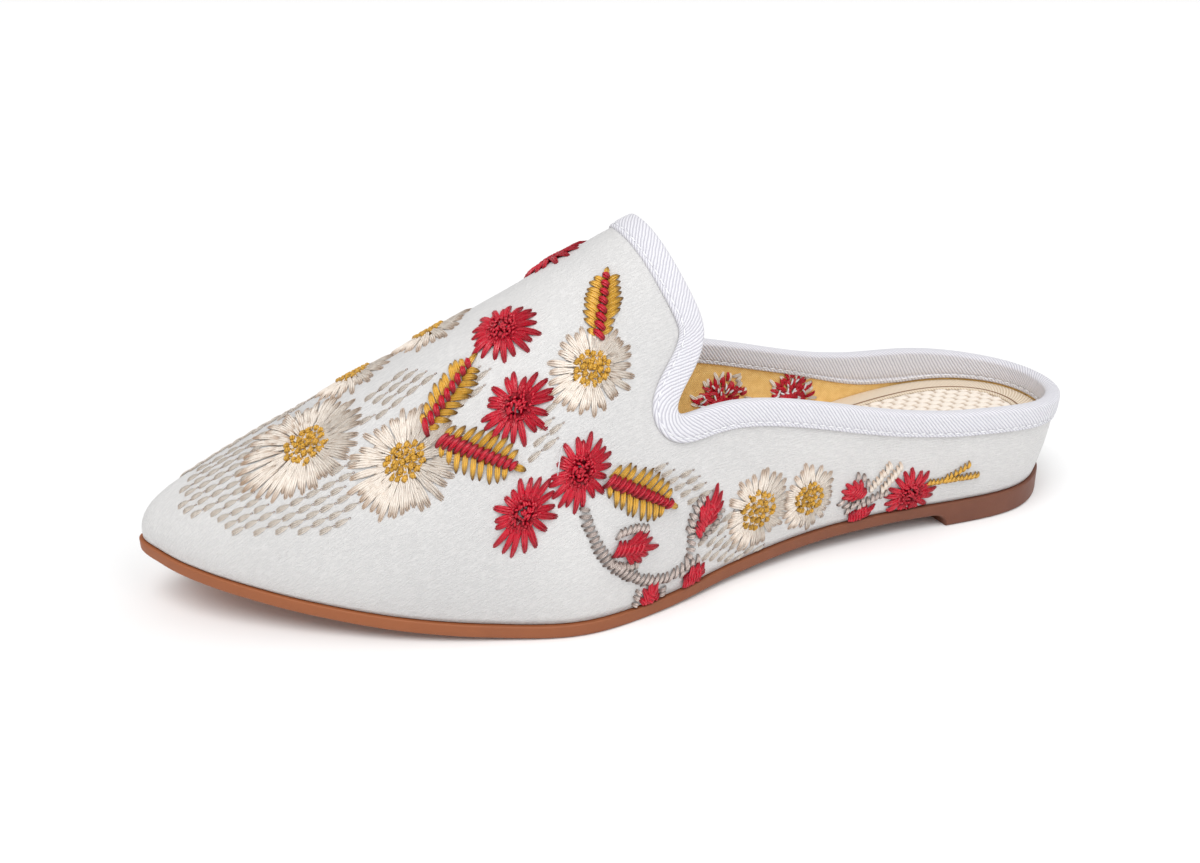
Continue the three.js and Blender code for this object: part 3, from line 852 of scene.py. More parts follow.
@dataclass
class Upper:
    """The vamp and the two quarters, with their lining, as one hollow wall."""

    last: Last
    wall: float = 1.8
    vamp_steps: int = 132
    wall_steps: int = 26
    throat_steps: int = 48
    quarter_steps: int = 130

    def creases(self, station: Array, climb: Array) -> Array:
        """How far the cloth stands out in its soft folds.

        Args:
            station: stations of the loop.
            climb: climbs.

        Returns:
            Millimetres outwards.
        """
        cloth = self.last.cloth(station, climb)
        u, v = cloth[..., 0], cloth[..., 1]
        drift = 0.16 * np.sin(u / 9.0 + 0.5 * np.sin(v / 11.0)) * np.cos(v / 13.0 + 0.7)
        drift += 0.10 * np.sin(u / 4.1 + v / 6.3) * np.sin(v / 5.7 - u / 15.0)
        fade = ease(climb / 0.06) * ease((2.0 - climb) / 0.06)
        return drift * fade

    def surface(self, station: Array, climb: Array, lift: float = 0.0) -> Array:
        """Points on the cloth, with its soft folds."""
        return self.last.lifted(station, climb, self.creases(station, climb) + lift)

    def _places(self) -> list[tuple[Array, Array]]:
        """Grids of stations and climbs that cover the outer side's vamp and quarter."""
        last, corner = self.last, self.last.corner()
        corner_s, corner_c = last.topline(np.array(corner))
        wall = np.arange(self.wall_steps) / self.wall_steps
        throat = last.topline(corner * (1 - np.arange(self.throat_steps + 1) / self.throat_steps))
        edge_s = np.concatenate([np.full(self.wall_steps, corner_s), throat[0]])
        edge_c = np.concatenate([wall * corner_c, throat[1]])
        edge_c[-1] = 1.0
        share = np.arange(self.vamp_steps + 1) / self.vamp_steps
        vamp = edge_s[:, None] * share[None], np.repeat(edge_c[:, None], self.vamp_steps + 1, axis=1)
        along = corner + (TOPLINE_END - corner) * np.arange(self.quarter_steps + 1) / self.quarter_steps
        rim_s, rim_c = last.topline(along)
        rim_s[-1] = HEEL
        up = np.arange(self.wall_steps + 1) / self.wall_steps
        quarter = np.repeat(rim_s[None], len(up), axis=0), rim_c[None] * up[:, None]
        return [vamp, quarter]

    def build(self, satin: bpy.types.Material, lining: bpy.types.Material) -> None:
        """Makes the wall's outer and inner faces and joins them along the topline and the feather edge.

        Args:
            satin: the outer face's material.
            lining: the inner face's.
        """
        last = self.last
        patches = []
        for side in Side:
            flip = side is Side.INNER
            for s, c in self._places():
                station = LOOP - s if flip else s
                cloth = last.cloth(station, c)
                outside = self.surface(station, c)
                inside = self.surface(station, c, -self.wall)
                floor = last.sole_top(inside[0, :, 0] + last.length / 2) + last.gap
                inside[0, :, 2] = np.maximum(inside[0, :, 2], floor)
                patches.append(Patch(outside, cloth, 0, flip))
                patches.append(Patch(inside, cloth, 1, not flip))
                foot = np.stack([outside[0], inside[0]])
                patches.append(Patch(foot, np.stack([cloth[0], cloth[0]]), 0, not flip))
            vamp, quarter = self._places()
            for rim_s, rim_c, turned in (
                (vamp[0][self.wall_steps :, -1], vamp[1][self.wall_steps :, -1], False),
                (quarter[0][-1], quarter[1][-1], True),
            ):
                station = LOOP - rim_s if flip else rim_s
                both = np.stack([self.surface(station, rim_c), self.surface(station, rim_c, -self.wall)])
                cloth = last.cloth(station, rim_c)
                patches.append(Patch(both, np.stack([cloth, cloth]), 0, flip != turned))
        piece = patches_to_object("upper_cloth", patches, last)
        piece.data.materials.append(satin)
        piece.data.materials.append(lining)
        settle(piece, ["upper"])


@dataclass
class Binding:
    """A tape folded over the topline and stitched down."""

    last: Last
    upper: Upper
    width: float = 5.8
    thickness: float = 0.8
    tape_gap: float = 0.42
    groove: float = 1.15
    heel_width: float = 9.4
    heel_start: float = 13.4
    backing: float = 0.04
    steps: int = 210
    crest_steps: int = 12
    section_steps: int = 24

    def leg_width(self, place: Array, inner_face: bool) -> Array:
        """Width of one leg, whose inner face reaches down to the insole round the heel.

        Args:
            place: places along the topline's table.
            inner_face: whether the leg lies inside the shoe.

        Returns:
            Widths in millimetres.
        """
        if not inner_face:
            return np.full_like(place, self.width)
        s, c = self.last.topline(place)
        crest = self.last.lifted(s, c, -self.upper.wall)
        floor = self.last.footbed(crest[..., 0] + self.last.length / 2)
        wanted = self.width + (self.heel_width - self.width) * ease((place - self.heel_start) / 2.2)
        return np.minimum(wanted, crest[..., 2] - floor - self.last.gap)

    def _leg(self, place: Array, inner_face: bool) -> tuple[Array, Array]:
        """Distances below the topline and heights over the wall of one leg's outer face, from the top down.

        Args:
            place: places along the topline's table.
            inner_face: whether the leg lies inside the shoe.

        Returns:
            Distances and heights, a row for each point of the section.
        """
        over = self.tape_gap + self.thickness
        width = self.leg_width(place, inner_face)
        groove = self.groove
        shape = (
            (0.0, over),
            (0.25, over + 0.02),
            (0.5, over),
            (1 - groove * 1.9 / self.width, over * 0.93),
            (1 - groove * 1.4 / self.width, over * 0.86),
            (1 - groove / self.width, over * 0.58),
            (1 - groove * 0.65 / self.width, over * 0.78),
            (1 - 0.3 / self.width, over * 0.7),
            (1 - 0.06 / self.width, over * 0.45),
            (1.0, 0.06),
        )
        steps = np.linspace(0, len(shape) - 1, self.section_steps)
        share, height = (np.interp(steps, np.arange(len(shape)), column) for column in zip(*shape))
        return share[:, None] * width[None], np.repeat(height[:, None], len(place), axis=1)

    def build(self, material: bpy.types.Material) -> None:
        """Sweeps the folded section along the topline, once round the shoe.

        Args:
            material: the tape's material.
        """
        last = self.last
        half = np.linspace(0, TOPLINE_END, self.steps)
        patches = []
        for side in Side:
            flip = side is Side.INNER
            outer_d, outer_h = self._leg(half, False)
            inner_d, inner_h = self._leg(half, True)

            def put(distance: Array, lift: Array, flip: bool = flip) -> Array:
                s, c = last.below_topline(half[None], distance)
                return last.lifted(LOOP - s if flip else s, c, lift)

            outer = put(outer_d, outer_h)
            inner = put(inner_d, -self.upper.wall - inner_h)
            top, low = outer[0], put(np.full((1, len(half)), 0.5), outer_h[:1])[0]
            rise = unit(top - low)
            turn = np.linspace(0, np.pi, self.crest_steps + 2)[1:-1, None, None]
            middle, reach = (outer[0] + inner[0]) / 2, (outer[0] - inner[0]) / 2
            crest = middle + np.cos(turn) * reach + np.sin(turn) * rise * (self.tape_gap + self.thickness)
            share, height = np.array([[0.97], [0.5], [0.03]]), np.full((3, len(half)), self.backing)
            back_outer = put(share * outer_d[-1:], height)
            back_inner = put(share[::-1] * inner_d[-1:], -self.upper.wall - height)
            section = np.concatenate([outer[::-1], crest, inner, back_inner[::-1], back_outer[::-1]])
            lengths = np.linalg.norm(np.diff(section, axis=0, append=section[:1]), axis=-1)
            across = np.concatenate([[0.0], np.cumsum(lengths[:, len(half) // 2])])
            run = np.linalg.norm(np.diff(middle, axis=0), axis=-1)
            along = np.concatenate([[0.0], np.cumsum(run)])
            along = -along if flip else along
            closed = np.concatenate([section, section[:1]])
            cloth = np.stack(np.broadcast_arrays(along[None], across[:, None]), axis=-1)
            patches.append(Patch(closed, cloth, 0, not flip))
        for column in (0, -1):  # both halves end on the same section, at the peak and at the heel
            seam = (patches[0].points[:, column] + patches[1].points[:, column]) / 2
            patches[0].points[:, column] = patches[1].points[:, column] = seam
        piece = patches_to_object("binding_tape", patches, last, 3)
        piece.data.materials.append(material)
        settle(piece, ["binding"])


@dataclass
class Outsole:
    """A moulded plate with toe spring, waist and a low heel."""

    last: Last
    bevel: float = 0.9
    edge_steps: int = 8

    def stations(self) -> Array:
        """Stations of the plate's rays along the outer side, closer together at the heel's breast."""
        front = np.linspace(0, 11, 133)
        breast = np.concatenate([np.linspace(11.08, self.last.breast_start, 8), self._breast()])
        back = np.linspace(self.last.breast_end + 0.001, HEEL, 60)
        return np.concatenate([front, breast, back])

    def _breast(self) -> Array:
        """Stations down the breast's hollow curve, at even turns."""
        turn = np.linspace(0.05, 1, 14)
        return self.last.breast_start + (self.last.breast_end - self.last.breast_start) * np.sin(turn * np.pi / 2)

    def build(self, material: bpy.types.Material) -> None:
        """Makes the plate as rings of points on each station's ray.

        Args:
            material: the rubber.
        """
        last = self.last
        half = self.stations()
        loop = np.concatenate([half, (LOOP - half[1:-1])[::-1]])
        m = last.measures(loop)
        turn = np.linspace(0, np.pi / 2, self.edge_steps)
        rows = []
        below = lambda at: last.underside(loop, at)
        for share in (0.0, 0.2, 0.4, 0.6, 0.8, 0.93):
            rows.append(last.ring(m, m["radius"] * share, below))
        for t in turn:
            inset, up = self.bevel * (1 - np.sin(t)), self.bevel * (1 - np.cos(t))
            rows.append(last.ring(m, m["radius"] - inset, lambda at, up=up: below(at) + up))
        small = self.bevel / 2
        for t in turn:
            inset, down = small * (1 - np.cos(t)), small * (1 - np.sin(t))
            rows.append(last.ring(m, m["radius"] - inset, lambda at, down=down: last.sole_top(at) - down))
        for share in (0.93, 0.8, 0.6, 0.4, 0.2, 0.0):
            rows.append(last.ring(m, m["radius"] * share, last.sole_top))
        points = np.stack(rows)
        cloth = points[..., :2] + last.length / 2
        piece = patches_to_object("outsole_rubber", [Patch(points, cloth, 0, True, True)], last)
        piece.data.materials.append(material)
        settle(piece, ["outsole"])


@dataclass
class Insole:
    """The padded sock: a crowned plate of plaited weave that fills the shoe's floor."""

    last: Last
    wall: float = 1.8
    border_width: float = 8.0
    border: float = 0.8
    border_start: float = 5.6
    border_taper: float = 0.2
    ledge: float = 0.05
    cell_long: float = 4.6
    cell_wide: float = 2.5
    depth: float = 0.6

    def reach(self, station: Array) -> Array:
        """Distances from the spine to the insole's edge against the upper."""
        m = self.last.measures(station)
        climb = self.last.climb_to(station, self.last.footbed)
        rim = self.last.lifted(station, climb, -(self.wall + self.last.gap))
        return np.hypot(rim[..., 0] + self.last.length / 2 - m["at"], rim[..., 1] - m["mid"])

    def weave(self, x: Array, y: Array) -> Array:
        """Height of the plaiting, from 0 at the strands' ends to 1 on their backs."""
        row = np.floor(y / self.cell_wide)
        off = 2 * (y / self.cell_wide - row) - 1
        along = (x / self.cell_long + row * 0.5 + off**2 * 0.1) % 1.0
        return (1 - np.abs(2 * along - 1) ** 2.6) * (1 - 0.6 * off**4)

    def build(self, material: bpy.types.Material) -> None:
        """Makes the plate with its woven top.

        Args:
            material: the weave's material.
        """
        last = self.last
        stations = np.concatenate([np.linspace(0, 7, 64), np.linspace(7.02, HEEL, 420)])
        patches = []
        for side in Side:
            flip = side is Side.INNER
            station = LOOP - stations if flip else stations
            m = last.measures(station)
            near = np.minimum(station, LOOP - station)
            bordered = np.clip((near - self.border_start) / self.border_taper, 0, 1)
            step = bordered * (self.border + last.gap)
            edge = self.reach(station)
            inner = edge - self.border_width * bordered
            shares = np.linspace(0, 1, 64)
            at, across = last.plan(m, shares[:, None] * inner[None])
            height = self.weave(at, across)
            fade = ease((1 - shares) / 0.04)[:, None]
            z = last.footbed(at) + (height * fade - 1) * self.depth
            top = last.standing(at, across, z)
            below = lambda at, step=step: last.footbed(at) - step - self.ledge
            drop, rim_low = last.ring(m, inner, below), last.ring(m, edge, below)
            foot = last.lifted(station, np.zeros_like(station), -(self.wall + last.gap))
            foot[:, 2] = np.maximum(foot[:, 2], last.sole_top(foot[:, 0] + last.length / 2) + last.gap)
            rim_low[:, 2] = np.maximum(rim_low[:, 2], foot[:, 2] + 0.4)
            spine = last.ring(m, 0 * edge, lambda at: last.sole_top(at) + last.gap)
            points = np.concatenate([top, np.stack([drop, rim_low, foot, spine])])
            patches.append(Patch(points, points[..., :2] + last.length / 2, 0, flip))
        piece = patches_to_object("insole_sock", patches, last)
        coordinates = np.empty(3 * len(piece.data.vertices), np.float32)
        piece.data.vertices.foreach_get("co", coordinates)
        places = coordinates.reshape(-1, 3) / MM - last.shift
        at = places[:, 0] + last.length / 2
        attribute = piece.data.attributes.new("weave", "FLOAT", "POINT")
        attribute.data.foreach_set("value", self.weave(at, places[:, 1]).astype(np.float32))
        piece.data.materials.append(material)
        settle(piece, ["insole"])


@dataclass
class InsoleBorder:
    """A ribbed strip sewn round the sock's edge."""

    last: Last
    insole: Insole
    steps: int = 520

    def build(self, material: bpy.types.Material) -> None:
        """Sweeps the strip's low arched section round the heel from side to side.

        Args:
            material: the strip's material.
        """
        last, insole = self.last, self.insole
        first = insole.border_start + 0.35
        station = np.linspace(first, LOOP - first, self.steps)
        m = last.measures(station)
        edge = insole.reach(station) - last.gap / 2
        inner = edge - insole.border_width + last.gap
        rows = []
        for share, rise in (
            (0.0, -insole.border),
            (0.0, -0.35),
            (0.01, -0.12),
            (0.04, 0.0),
            (0.3, 0.06),
            (0.6, 0.06),
            (0.8, 0.02),
            (0.88, -0.08),
            (0.93, 0.02),
            (0.98, -0.02),
            (1.0, -0.3),
            (1.0, -insole.border),
        ):
            rows.append(last.ring(m, edge + (inner - edge) * share, lambda at, rise=rise: last.footbed(at) + rise))
        rows.append(rows[0])
        points = np.stack(rows)
        lengths = np.concatenate([[0.0], np.cumsum(np.linalg.norm(np.diff(points[:, 200], axis=0), axis=-1))])
        run = np.concatenate([[0.0], np.cumsum(np.linalg.norm(np.diff(points[10], axis=0), axis=-1))])
        cloth = np.stack(np.broadcast_arrays(run[None], lengths[:, None]), axis=-1)
        ends = []
        for column, flip in ((0, True), (-1, False)):
            rim = points[:-1, column]
            half = len(rim) // 2
            cap = np.stack([rim[:half], rim[half:][::-1]])
            ends.append(Patch(cap, np.zeros((*cap.shape[:2], 2)), 0, flip))
        piece = patches_to_object("insole_strip", [Patch(points, cloth, 0, True), *ends], last)
        piece.data.materials.append(material)
        settle(piece, ["insole_border"])


# ---------------------------------------------------------------- threads


class Thread(Enum):
    """The threads of the embroidery and the seams: body colour, the dark colour of their painted shade at the needle
    holes, and roughness.
    """

    RED = ((0.64, 0.002, 0.025), (0.10, 0.001, 0.004), 0.32)
    GOLD = ((0.87, 0.48, 0.055), (0.13, 0.046, 0.005), 0.30)
    CREAM = ((0.95, 0.87, 0.78), (0.50, 0.34, 0.23), 0.42)
    GREY = ((0.70, 0.59, 0.54), (0.10, 0.055, 0.04), 0.26)
    WHITE = ((0.82, 0.82, 0.84), (0.62, 0.62, 0.66), 0.50)

    def material(self) -> bpy.types.Material:
        """Lustrous thread of fine filaments, painted darker where its shade attribute asks for painted shade, such as
        at the needle holes, and in the lines between the filaments.
        """
        body, hole, rough = self.value
        shader = Shader(f"thread_{self.name.lower()}", Specular_IOR_Level=0.62)
        shade = shader.value("ShaderNodeAttribute", {"attribute_name": "shade"}, {}, "Fac")
        along = shader.value("ShaderNodeAttribute", {"attribute_name": "along"}, {}, "Fac")
        around = shader.value("ShaderNodeAttribute", {"attribute_name": "around"}, {}, "Fac")
        dye = shader.noise(shader.place(), 900.0, 2.0)
        filament = (along * (1 / (5.0 * MM)) + around * 5 + dye * 0.8).wave(1.0)
        # Painted shade: the colour darkens towards the hole colour by the shade attribute, and in the lines between
        # the filaments.
        shader.color(shader.mix(shade * 0.9 + (dye - 0.5) * 0.55 + (1 - filament) * 0.26, body, hole))
        shader.roughness(rough + (dye - 0.5) * 0.6)
        shader.relief(filament, 0.07)
        return shader.material


class GeometryTree:
    """A Geometry Nodes tree under construction, with named inputs."""

    def __init__(self, name: str, inputs: dict[str, str]) -> None:
        """Starts a tree.

        Args:
            name: its name.
            inputs: the socket type of each named input.
        """
        self.tree = bpy.data.node_groups.new(name, "GeometryNodeTree")
        self.identifiers: dict[str, str] = {}
        self.tree.interface.new_socket("Geometry", in_out="INPUT", socket_type="NodeSocketGeometry")
        for key, kind in inputs.items():
            made = self.tree.interface.new_socket(key, in_out="INPUT", socket_type=kind)
            self.identifiers[key] = made.identifier
        self.tree.interface.new_socket("Geometry", in_out="OUTPUT", socket_type="NodeSocketGeometry")
        self.start = self.tree.nodes.new("NodeGroupInput")
        self.end = self.tree.nodes.new("NodeGroupOutput")

    def node(self, kind: str, settings: dict[str, Any], inputs: dict[str | int, Any], output: int | str = 0) -> Any:
        """Adds a node.

        Args:
            kind: the node's type.
            settings: its own settings, set first.
            inputs: the values or links of its sockets, by name or number.
            output: which of its outputs is wanted.

        Returns:
            The output's socket.
        """
        node = self.tree.nodes.new(kind)
        for key, value in settings.items():
            setattr(node, key, value)
        for key, value in inputs.items():
            if isinstance(value, bpy.types.NodeSocket):
                self.tree.links.new(value, node.inputs[key])
            else:
                node.inputs[key].default_value = value
        return node.outputs[output]

    def given(self, name: str) -> bpy.types.NodeSocket:
        """The socket of a named input."""
        return self.start.outputs[name]

    def close(self, geometry: bpy.types.NodeSocket) -> None:
        """Ends the tree in Realize Instances and Set Material."""
        real = self.node("GeometryNodeRealizeInstances", {}, {0: geometry})
        smooth = self.node("GeometryNodeSetShadeSmooth", {}, {0: real})
        dressed = self.node("GeometryNodeSetMaterial", {}, {0: smooth, "Material": self.given("Material")})
        self.tree.links.new(dressed, self.end.inputs[0])

    def run(self, lines: bpy.types.Object, values: dict[str, Any], name: str) -> bpy.types.Object:
        """Turns an object of lines into a plain mesh piece.

        Args:
            lines: the object that carries the lines.
            values: the named inputs' values.
            name: the piece's name.

        Returns:
            The piece, without modifiers.
        """
        modifier = lines.modifiers.new("nodes", "NODES")
        modifier.node_group = self.tree
        for key, value in values.items():
            modifier[self.identifiers[key]] = value
        graph = bpy.context.evaluated_depsgraph_get()
        made = lines.evaluated_get(graph)
        mesh = bpy.data.meshes.new_from_object(made, preserve_all_data_layers=True, depsgraph=graph)
        mesh.name = name
        lines.modifiers.remove(modifier)
        spent = lines.data
        bpy.data.objects.remove(lines)
        bpy.data.meshes.remove(spent)
        return linked(name, mesh)


def lines_object(name: str, points: Array, attributes: dict[str, Array]) -> bpy.types.Object:
    """An object of separate lines.

    Args:
        name: its name.
        points: metres, a row of points for each line.
        attributes: values or vectors for each point.

    Returns:
        The object, linked to the scene.
    """
    count, steps = points.shape[:2]
    ids = np.arange(count * steps).reshape(count, steps)
    edges = np.stack([ids[:, :-1], ids[:, 1:]], axis=-1).reshape(-1, 2)
    mesh = bpy.data.meshes.new(name)
    mesh.vertices.add(count * steps)
    mesh.vertices.foreach_set("co", points.astype(np.float32).reshape(-1))
    mesh.edges.add(len(edges))
    mesh.edges.foreach_set("vertices", edges.astype(np.int32).reshape(-1))
    for key, values in attributes.items():
        vector = values.shape[-1] == 3 and values.ndim == 3
        layer = mesh.attributes.new(key, "FLOAT_VECTOR" if vector else "FLOAT", "POINT")
        layer.data.foreach_set("vector" if vector else "value", values.astype(np.float32).reshape(-1))
    mesh.update()
    return linked(name, mesh)


@dataclass
class ThreadSweep:
    """Turns lines with a radius at each point into round threads."""

    sides: int = 5

    def __post_init__(self) -> None:
        """Builds the tree."""
        inputs = {"Sides": "NodeSocketInt", "Thickness": "NodeSocketFloat", "Material": "NodeSocketMaterial"}
        tree = GeometryTree("thread_sweep", inputs)
        curve = tree.node("GeometryNodeMeshToCurve", {}, {0: tree.given("Geometry")})
        length = tree.node("GeometryNodeSplineParameter", {}, {}, "Length")
        marked = {"data_type": "FLOAT", "domain": "POINT"}
        curve = tree.node("GeometryNodeStoreNamedAttribute", marked, {0: curve, "Name": "along", "Value": length})
        radius = tree.node("GeometryNodeInputNamedAttribute", {"data_type": "FLOAT"}, {"Name": "radius"})
        radius = tree.node("ShaderNodeMath", {"operation": "MULTIPLY"}, {0: radius, 1: tree.given("Thickness")})
        curve = tree.node("GeometryNodeSetCurveRadius", {}, {0: curve, "Radius": radius})
        ring = tree.node("GeometryNodeCurvePrimitiveCircle", {}, {"Resolution": tree.given("Sides"), "Radius": 1.0})
        turn = tree.node("GeometryNodeSplineParameter", {}, {}, "Factor")
        ring = tree.node("GeometryNodeStoreNamedAttribute", marked, {0: ring, "Name": "around", "Value": turn})
        sweep = {"Curve": curve, "Profile Curve": ring, "Fill Caps": True}
        if "Scale" in tree.tree.nodes.new("GeometryNodeCurveToMesh").inputs:
            sweep["Scale"] = tree.node("GeometryNodeInputRadius", {}, {})
        tree.close(tree.node("GeometryNodeCurveToMesh", {}, sweep))
        self.tree = tree

    def sweep(
        self, name: str, points: Array, radius: Array, shade: Array, material: bpy.types.Material
    ) -> bpy.types.Object:
        """Makes a piece of threads.

        Args:
            name: the piece's name.
            points: metres, a row of points for each stitch.
            radius: metres, one for each point.
            shade: painted shade, from 0, the thread's body, to 1, the dark colour at the needle holes.
            material: the thread's material.

        Returns:
            The piece.
        """
        lines = lines_object(name + "_lines", points, {"radius": radius, "shade": shade})
        return self.tree.run(lines, {"Sides": self.sides, "Thickness": 1.0, "Material": material}, name)


@dataclass
class Seams:
    """Rows of machine stitches that hold the binding down, outside and inside the shoe."""

    last: Last
    upper: Upper
    binding: Binding
    pitch: float = 2.7
    length: float = 2.2
    radius: float = 0.2
    height: float = 0.86
    steps: int = 260

    def _tree(self) -> GeometryTree:
        """A tree that sets a stitch at even steps along a path."""
        sizes = {"Pitch": "NodeSocketFloat", "Length": "NodeSocketFloat", "Radius": "NodeSocketFloat"}
        tree = GeometryTree("stitch_row", {**sizes, "Material": "NodeSocketMaterial"})
        curve = tree.node("GeometryNodeMeshToCurve", {}, {0: tree.given("Geometry")})
        spacing = {"Curve": curve, "Length": tree.given("Pitch")}
        even = tree.node("GeometryNodeResampleCurve", {"mode": "LENGTH"}, spacing)
        tangent = tree.node("GeometryNodeInputTangent", {}, {})
        normal = tree.node("GeometryNodeInputNamedAttribute", {"data_type": "FLOAT_VECTOR"}, {"Name": "up"})
        axes = {"primary_axis": "X", "secondary_axis": "Z"}
        turn = tree.node("FunctionNodeAxesToRotation", axes, {0: tangent, 1: normal})
        ball = tree.node("GeometryNodeMeshUVSphere", {}, {"Segments": 8, "Rings": 6, "Radius": 1.0})
        half = tree.node("ShaderNodeMath", {"operation": "MULTIPLY"}, {0: tree.given("Length"), 1: 0.5})
        size = tree.node("ShaderNodeCombineXYZ", {}, {0: half, 1: tree.given("Radius"), 2: tree.given("Radius")})
        laid = {"Points": even, "Instance": ball, "Rotation": turn, "Scale": size}
        tree.close(tree.node("GeometryNodeInstanceOnPoints", {}, laid))
        return tree

    def build(self) -> None:
        """Sews both rows round the topline."""
        last = self.last
        material = Thread.WHITE.material()
        tree = self._tree()
        half = np.linspace(0.02, TOPLINE_END, self.steps)
        for name, inside in (("binding_stitches_outside", False), ("binding_stitches_inside", True)):
            rows, ups = [], []
            for side in Side:
                lift = -self.upper.wall - self.height if inside else self.height
                s, c = last.below_topline(half, self.binding.leg_width(half, inside) - self.binding.groove)
                station = LOOP - s if side is Side.INNER else s
                row, up = last.lifted(station, c, lift), last.normal(station, c) * (-1 if inside else 1)
                rows.append(row if side is Side.OUTER else row[::-1])
                ups.append(up if side is Side.OUTER else up[::-1])
            path, up = np.concatenate(rows)[None], np.concatenate(ups)[None]
            lines = lines_object(name + "_path", last.metres(path), {"up": up})
            sizes = {"Pitch": self.pitch * MM, "Length": self.length * MM, "Radius": self.radius * MM}
            piece = tree.run(lines, {**sizes, "Material": material}, name)
            settle(piece, ["binding"])


# ---------------------------------------------------------------- embroidery


@dataclass
class Ground:
    """One side of the upper as flat cloth, on which motifs are laid out with their stitches."""

    last: Last
    side: Side
    inside: bool = False
    clearance: float = 0.07
    stitches: dict[Thread, list[Array]] = field(default_factory=dict)

    def at(self, station: float, climb: float) -> Array:
        """The flat place of a station and climb of the outer side, on this side."""
        return self.last.cloth(*self.home((station, climb)))

    def home(self, place: Sequence[float]) -> Array:
        """This side's station and climb of a place of the outer side; the inner side keeps clear of the ridge."""
        station, climb = float(place[0]), float(place[1])
        if self.side is Side.OUTER:
            return np.array([station, climb])
        return np.array([LOOP - station, climb - self.clearance * float(ease((climb - 0.6) / 0.2))])

    @property
    def hand(self) -> Array:
        """Turns outlines over on the inner side."""
        return np.array([1.0, -1.0 if self.side is Side.INNER else 1.0])

    def across(self, middle: Array, spot: Array, reach: Array) -> tuple[Array, Array]:
        """Starts and ends of stitches that reach both ways from spots round a middle."""
        return middle + (spot - reach) * self.hand, middle + (spot + reach) * self.hand

    def sew(
        self,
        thread: Thread,
        home: Sequence[float],
        start: Array,
        end: Array,
        radius: float = 0.3,
        lift: float = 0.7,
        bow: Array | float = 0.0,
        shade: tuple[float, float] = (0.4, 0.4),
    ) -> None:
        """Adds stitches.

        Args:
            thread: what they are sewn with.
            home: a station and climb of the outer side nearby.
            start: flat places where they start, one a row.
            end: flat places where they end.
            radius: of the thread, in millimetres.
            lift: height of their middle over the cloth.
            bow: how far their middle stands out to the left, in millimetres.
            shade: how dark they are at their start and end.
        """
        start, end = np.atleast_2d(start), np.atleast_2d(end)
        count = len(start)
        full = lambda value: np.broadcast_to(np.asarray(value, float), (count,))[:, None]
        near = np.broadcast_to(self.home(home), (count, 2))
        rest = [full(value) for value in (radius, lift, bow, shade[0], shade[1])]
        self.stitches.setdefault(thread, []).append(np.concatenate([start, end, near, *rest], axis=1))

    def petals(
        self,
        thread: Thread,
        home: Sequence[float],
        start: Array,
        end: Array,
        width: float,
        strands: int = 3,
        radius: float = 0.33,
        lift: float = 0.9,
        shade: tuple[Any, Any] = (0.4, 0.4),
        ends: tuple[float, float] = (0.5, 0.4),
    ) -> None:
        """Adds petals, each of threads laid side by side that draw together at both ends.

        Args:
            thread: what they are sewn with.
            home: a station and climb of the outer side nearby.
            start: flat places of their roots, one a row.
            end: flat places of their tips.
            width: from the first thread's middle to the last one's, where the petal is widest.
            strands: threads in each.
            radius: of the thread.
            lift: height of the middle over the cloth; the outermost threads lie lower.
            shade: how dark they are at root and tip.
            ends: width of root and tip as shares of the widest.
        """
        start, end = np.atleast_2d(start), np.atleast_2d(end)
        axis = unit(end - start)
        left = left_of(axis)
        for place in np.linspace(-1.0, 1.0, strands):
            out = place * width / 2
            tip = end + left * (out * ends[1]) - axis * (abs(out) * 0.45)
            bow = out * (1 - (ends[0] + ends[1]) / 2)
            root = start + left * (out * ends[0])
            self.sew(thread, home, root, tip, radius, lift * (1 - 0.22 * abs(place)), bow, shade)


GOLDEN_TURN = math.pi * (3 - math.sqrt(5))


def rays(angles: Array) -> Array:
    """Unit vectors at angles."""
    return np.stack([np.cos(angles), np.sin(angles)], axis=-1)


def once_round(random: np.random.Generator, count: int, jitter: float) -> Array:
    """Angles at even steps once round, each moved at random by up to a share of a step."""
    return (np.arange(count) + random.uniform(-jitter, jitter, count)) * 2 * np.pi / count


def turning(degrees: float) -> Array:
    """The matrix that turns row vectors to the left by an angle."""
    sine, cosine = math.sin(math.radians(degrees)), math.cos(math.radians(degrees))
    return np.array([[cosine, sine], [-sine, cosine]])


def left_of(vectors: Array) -> Array:
    """Vectors turned a quarter turn to the left."""
    return np.stack([-vectors[..., 1], vectors[..., 0]], axis=-1)


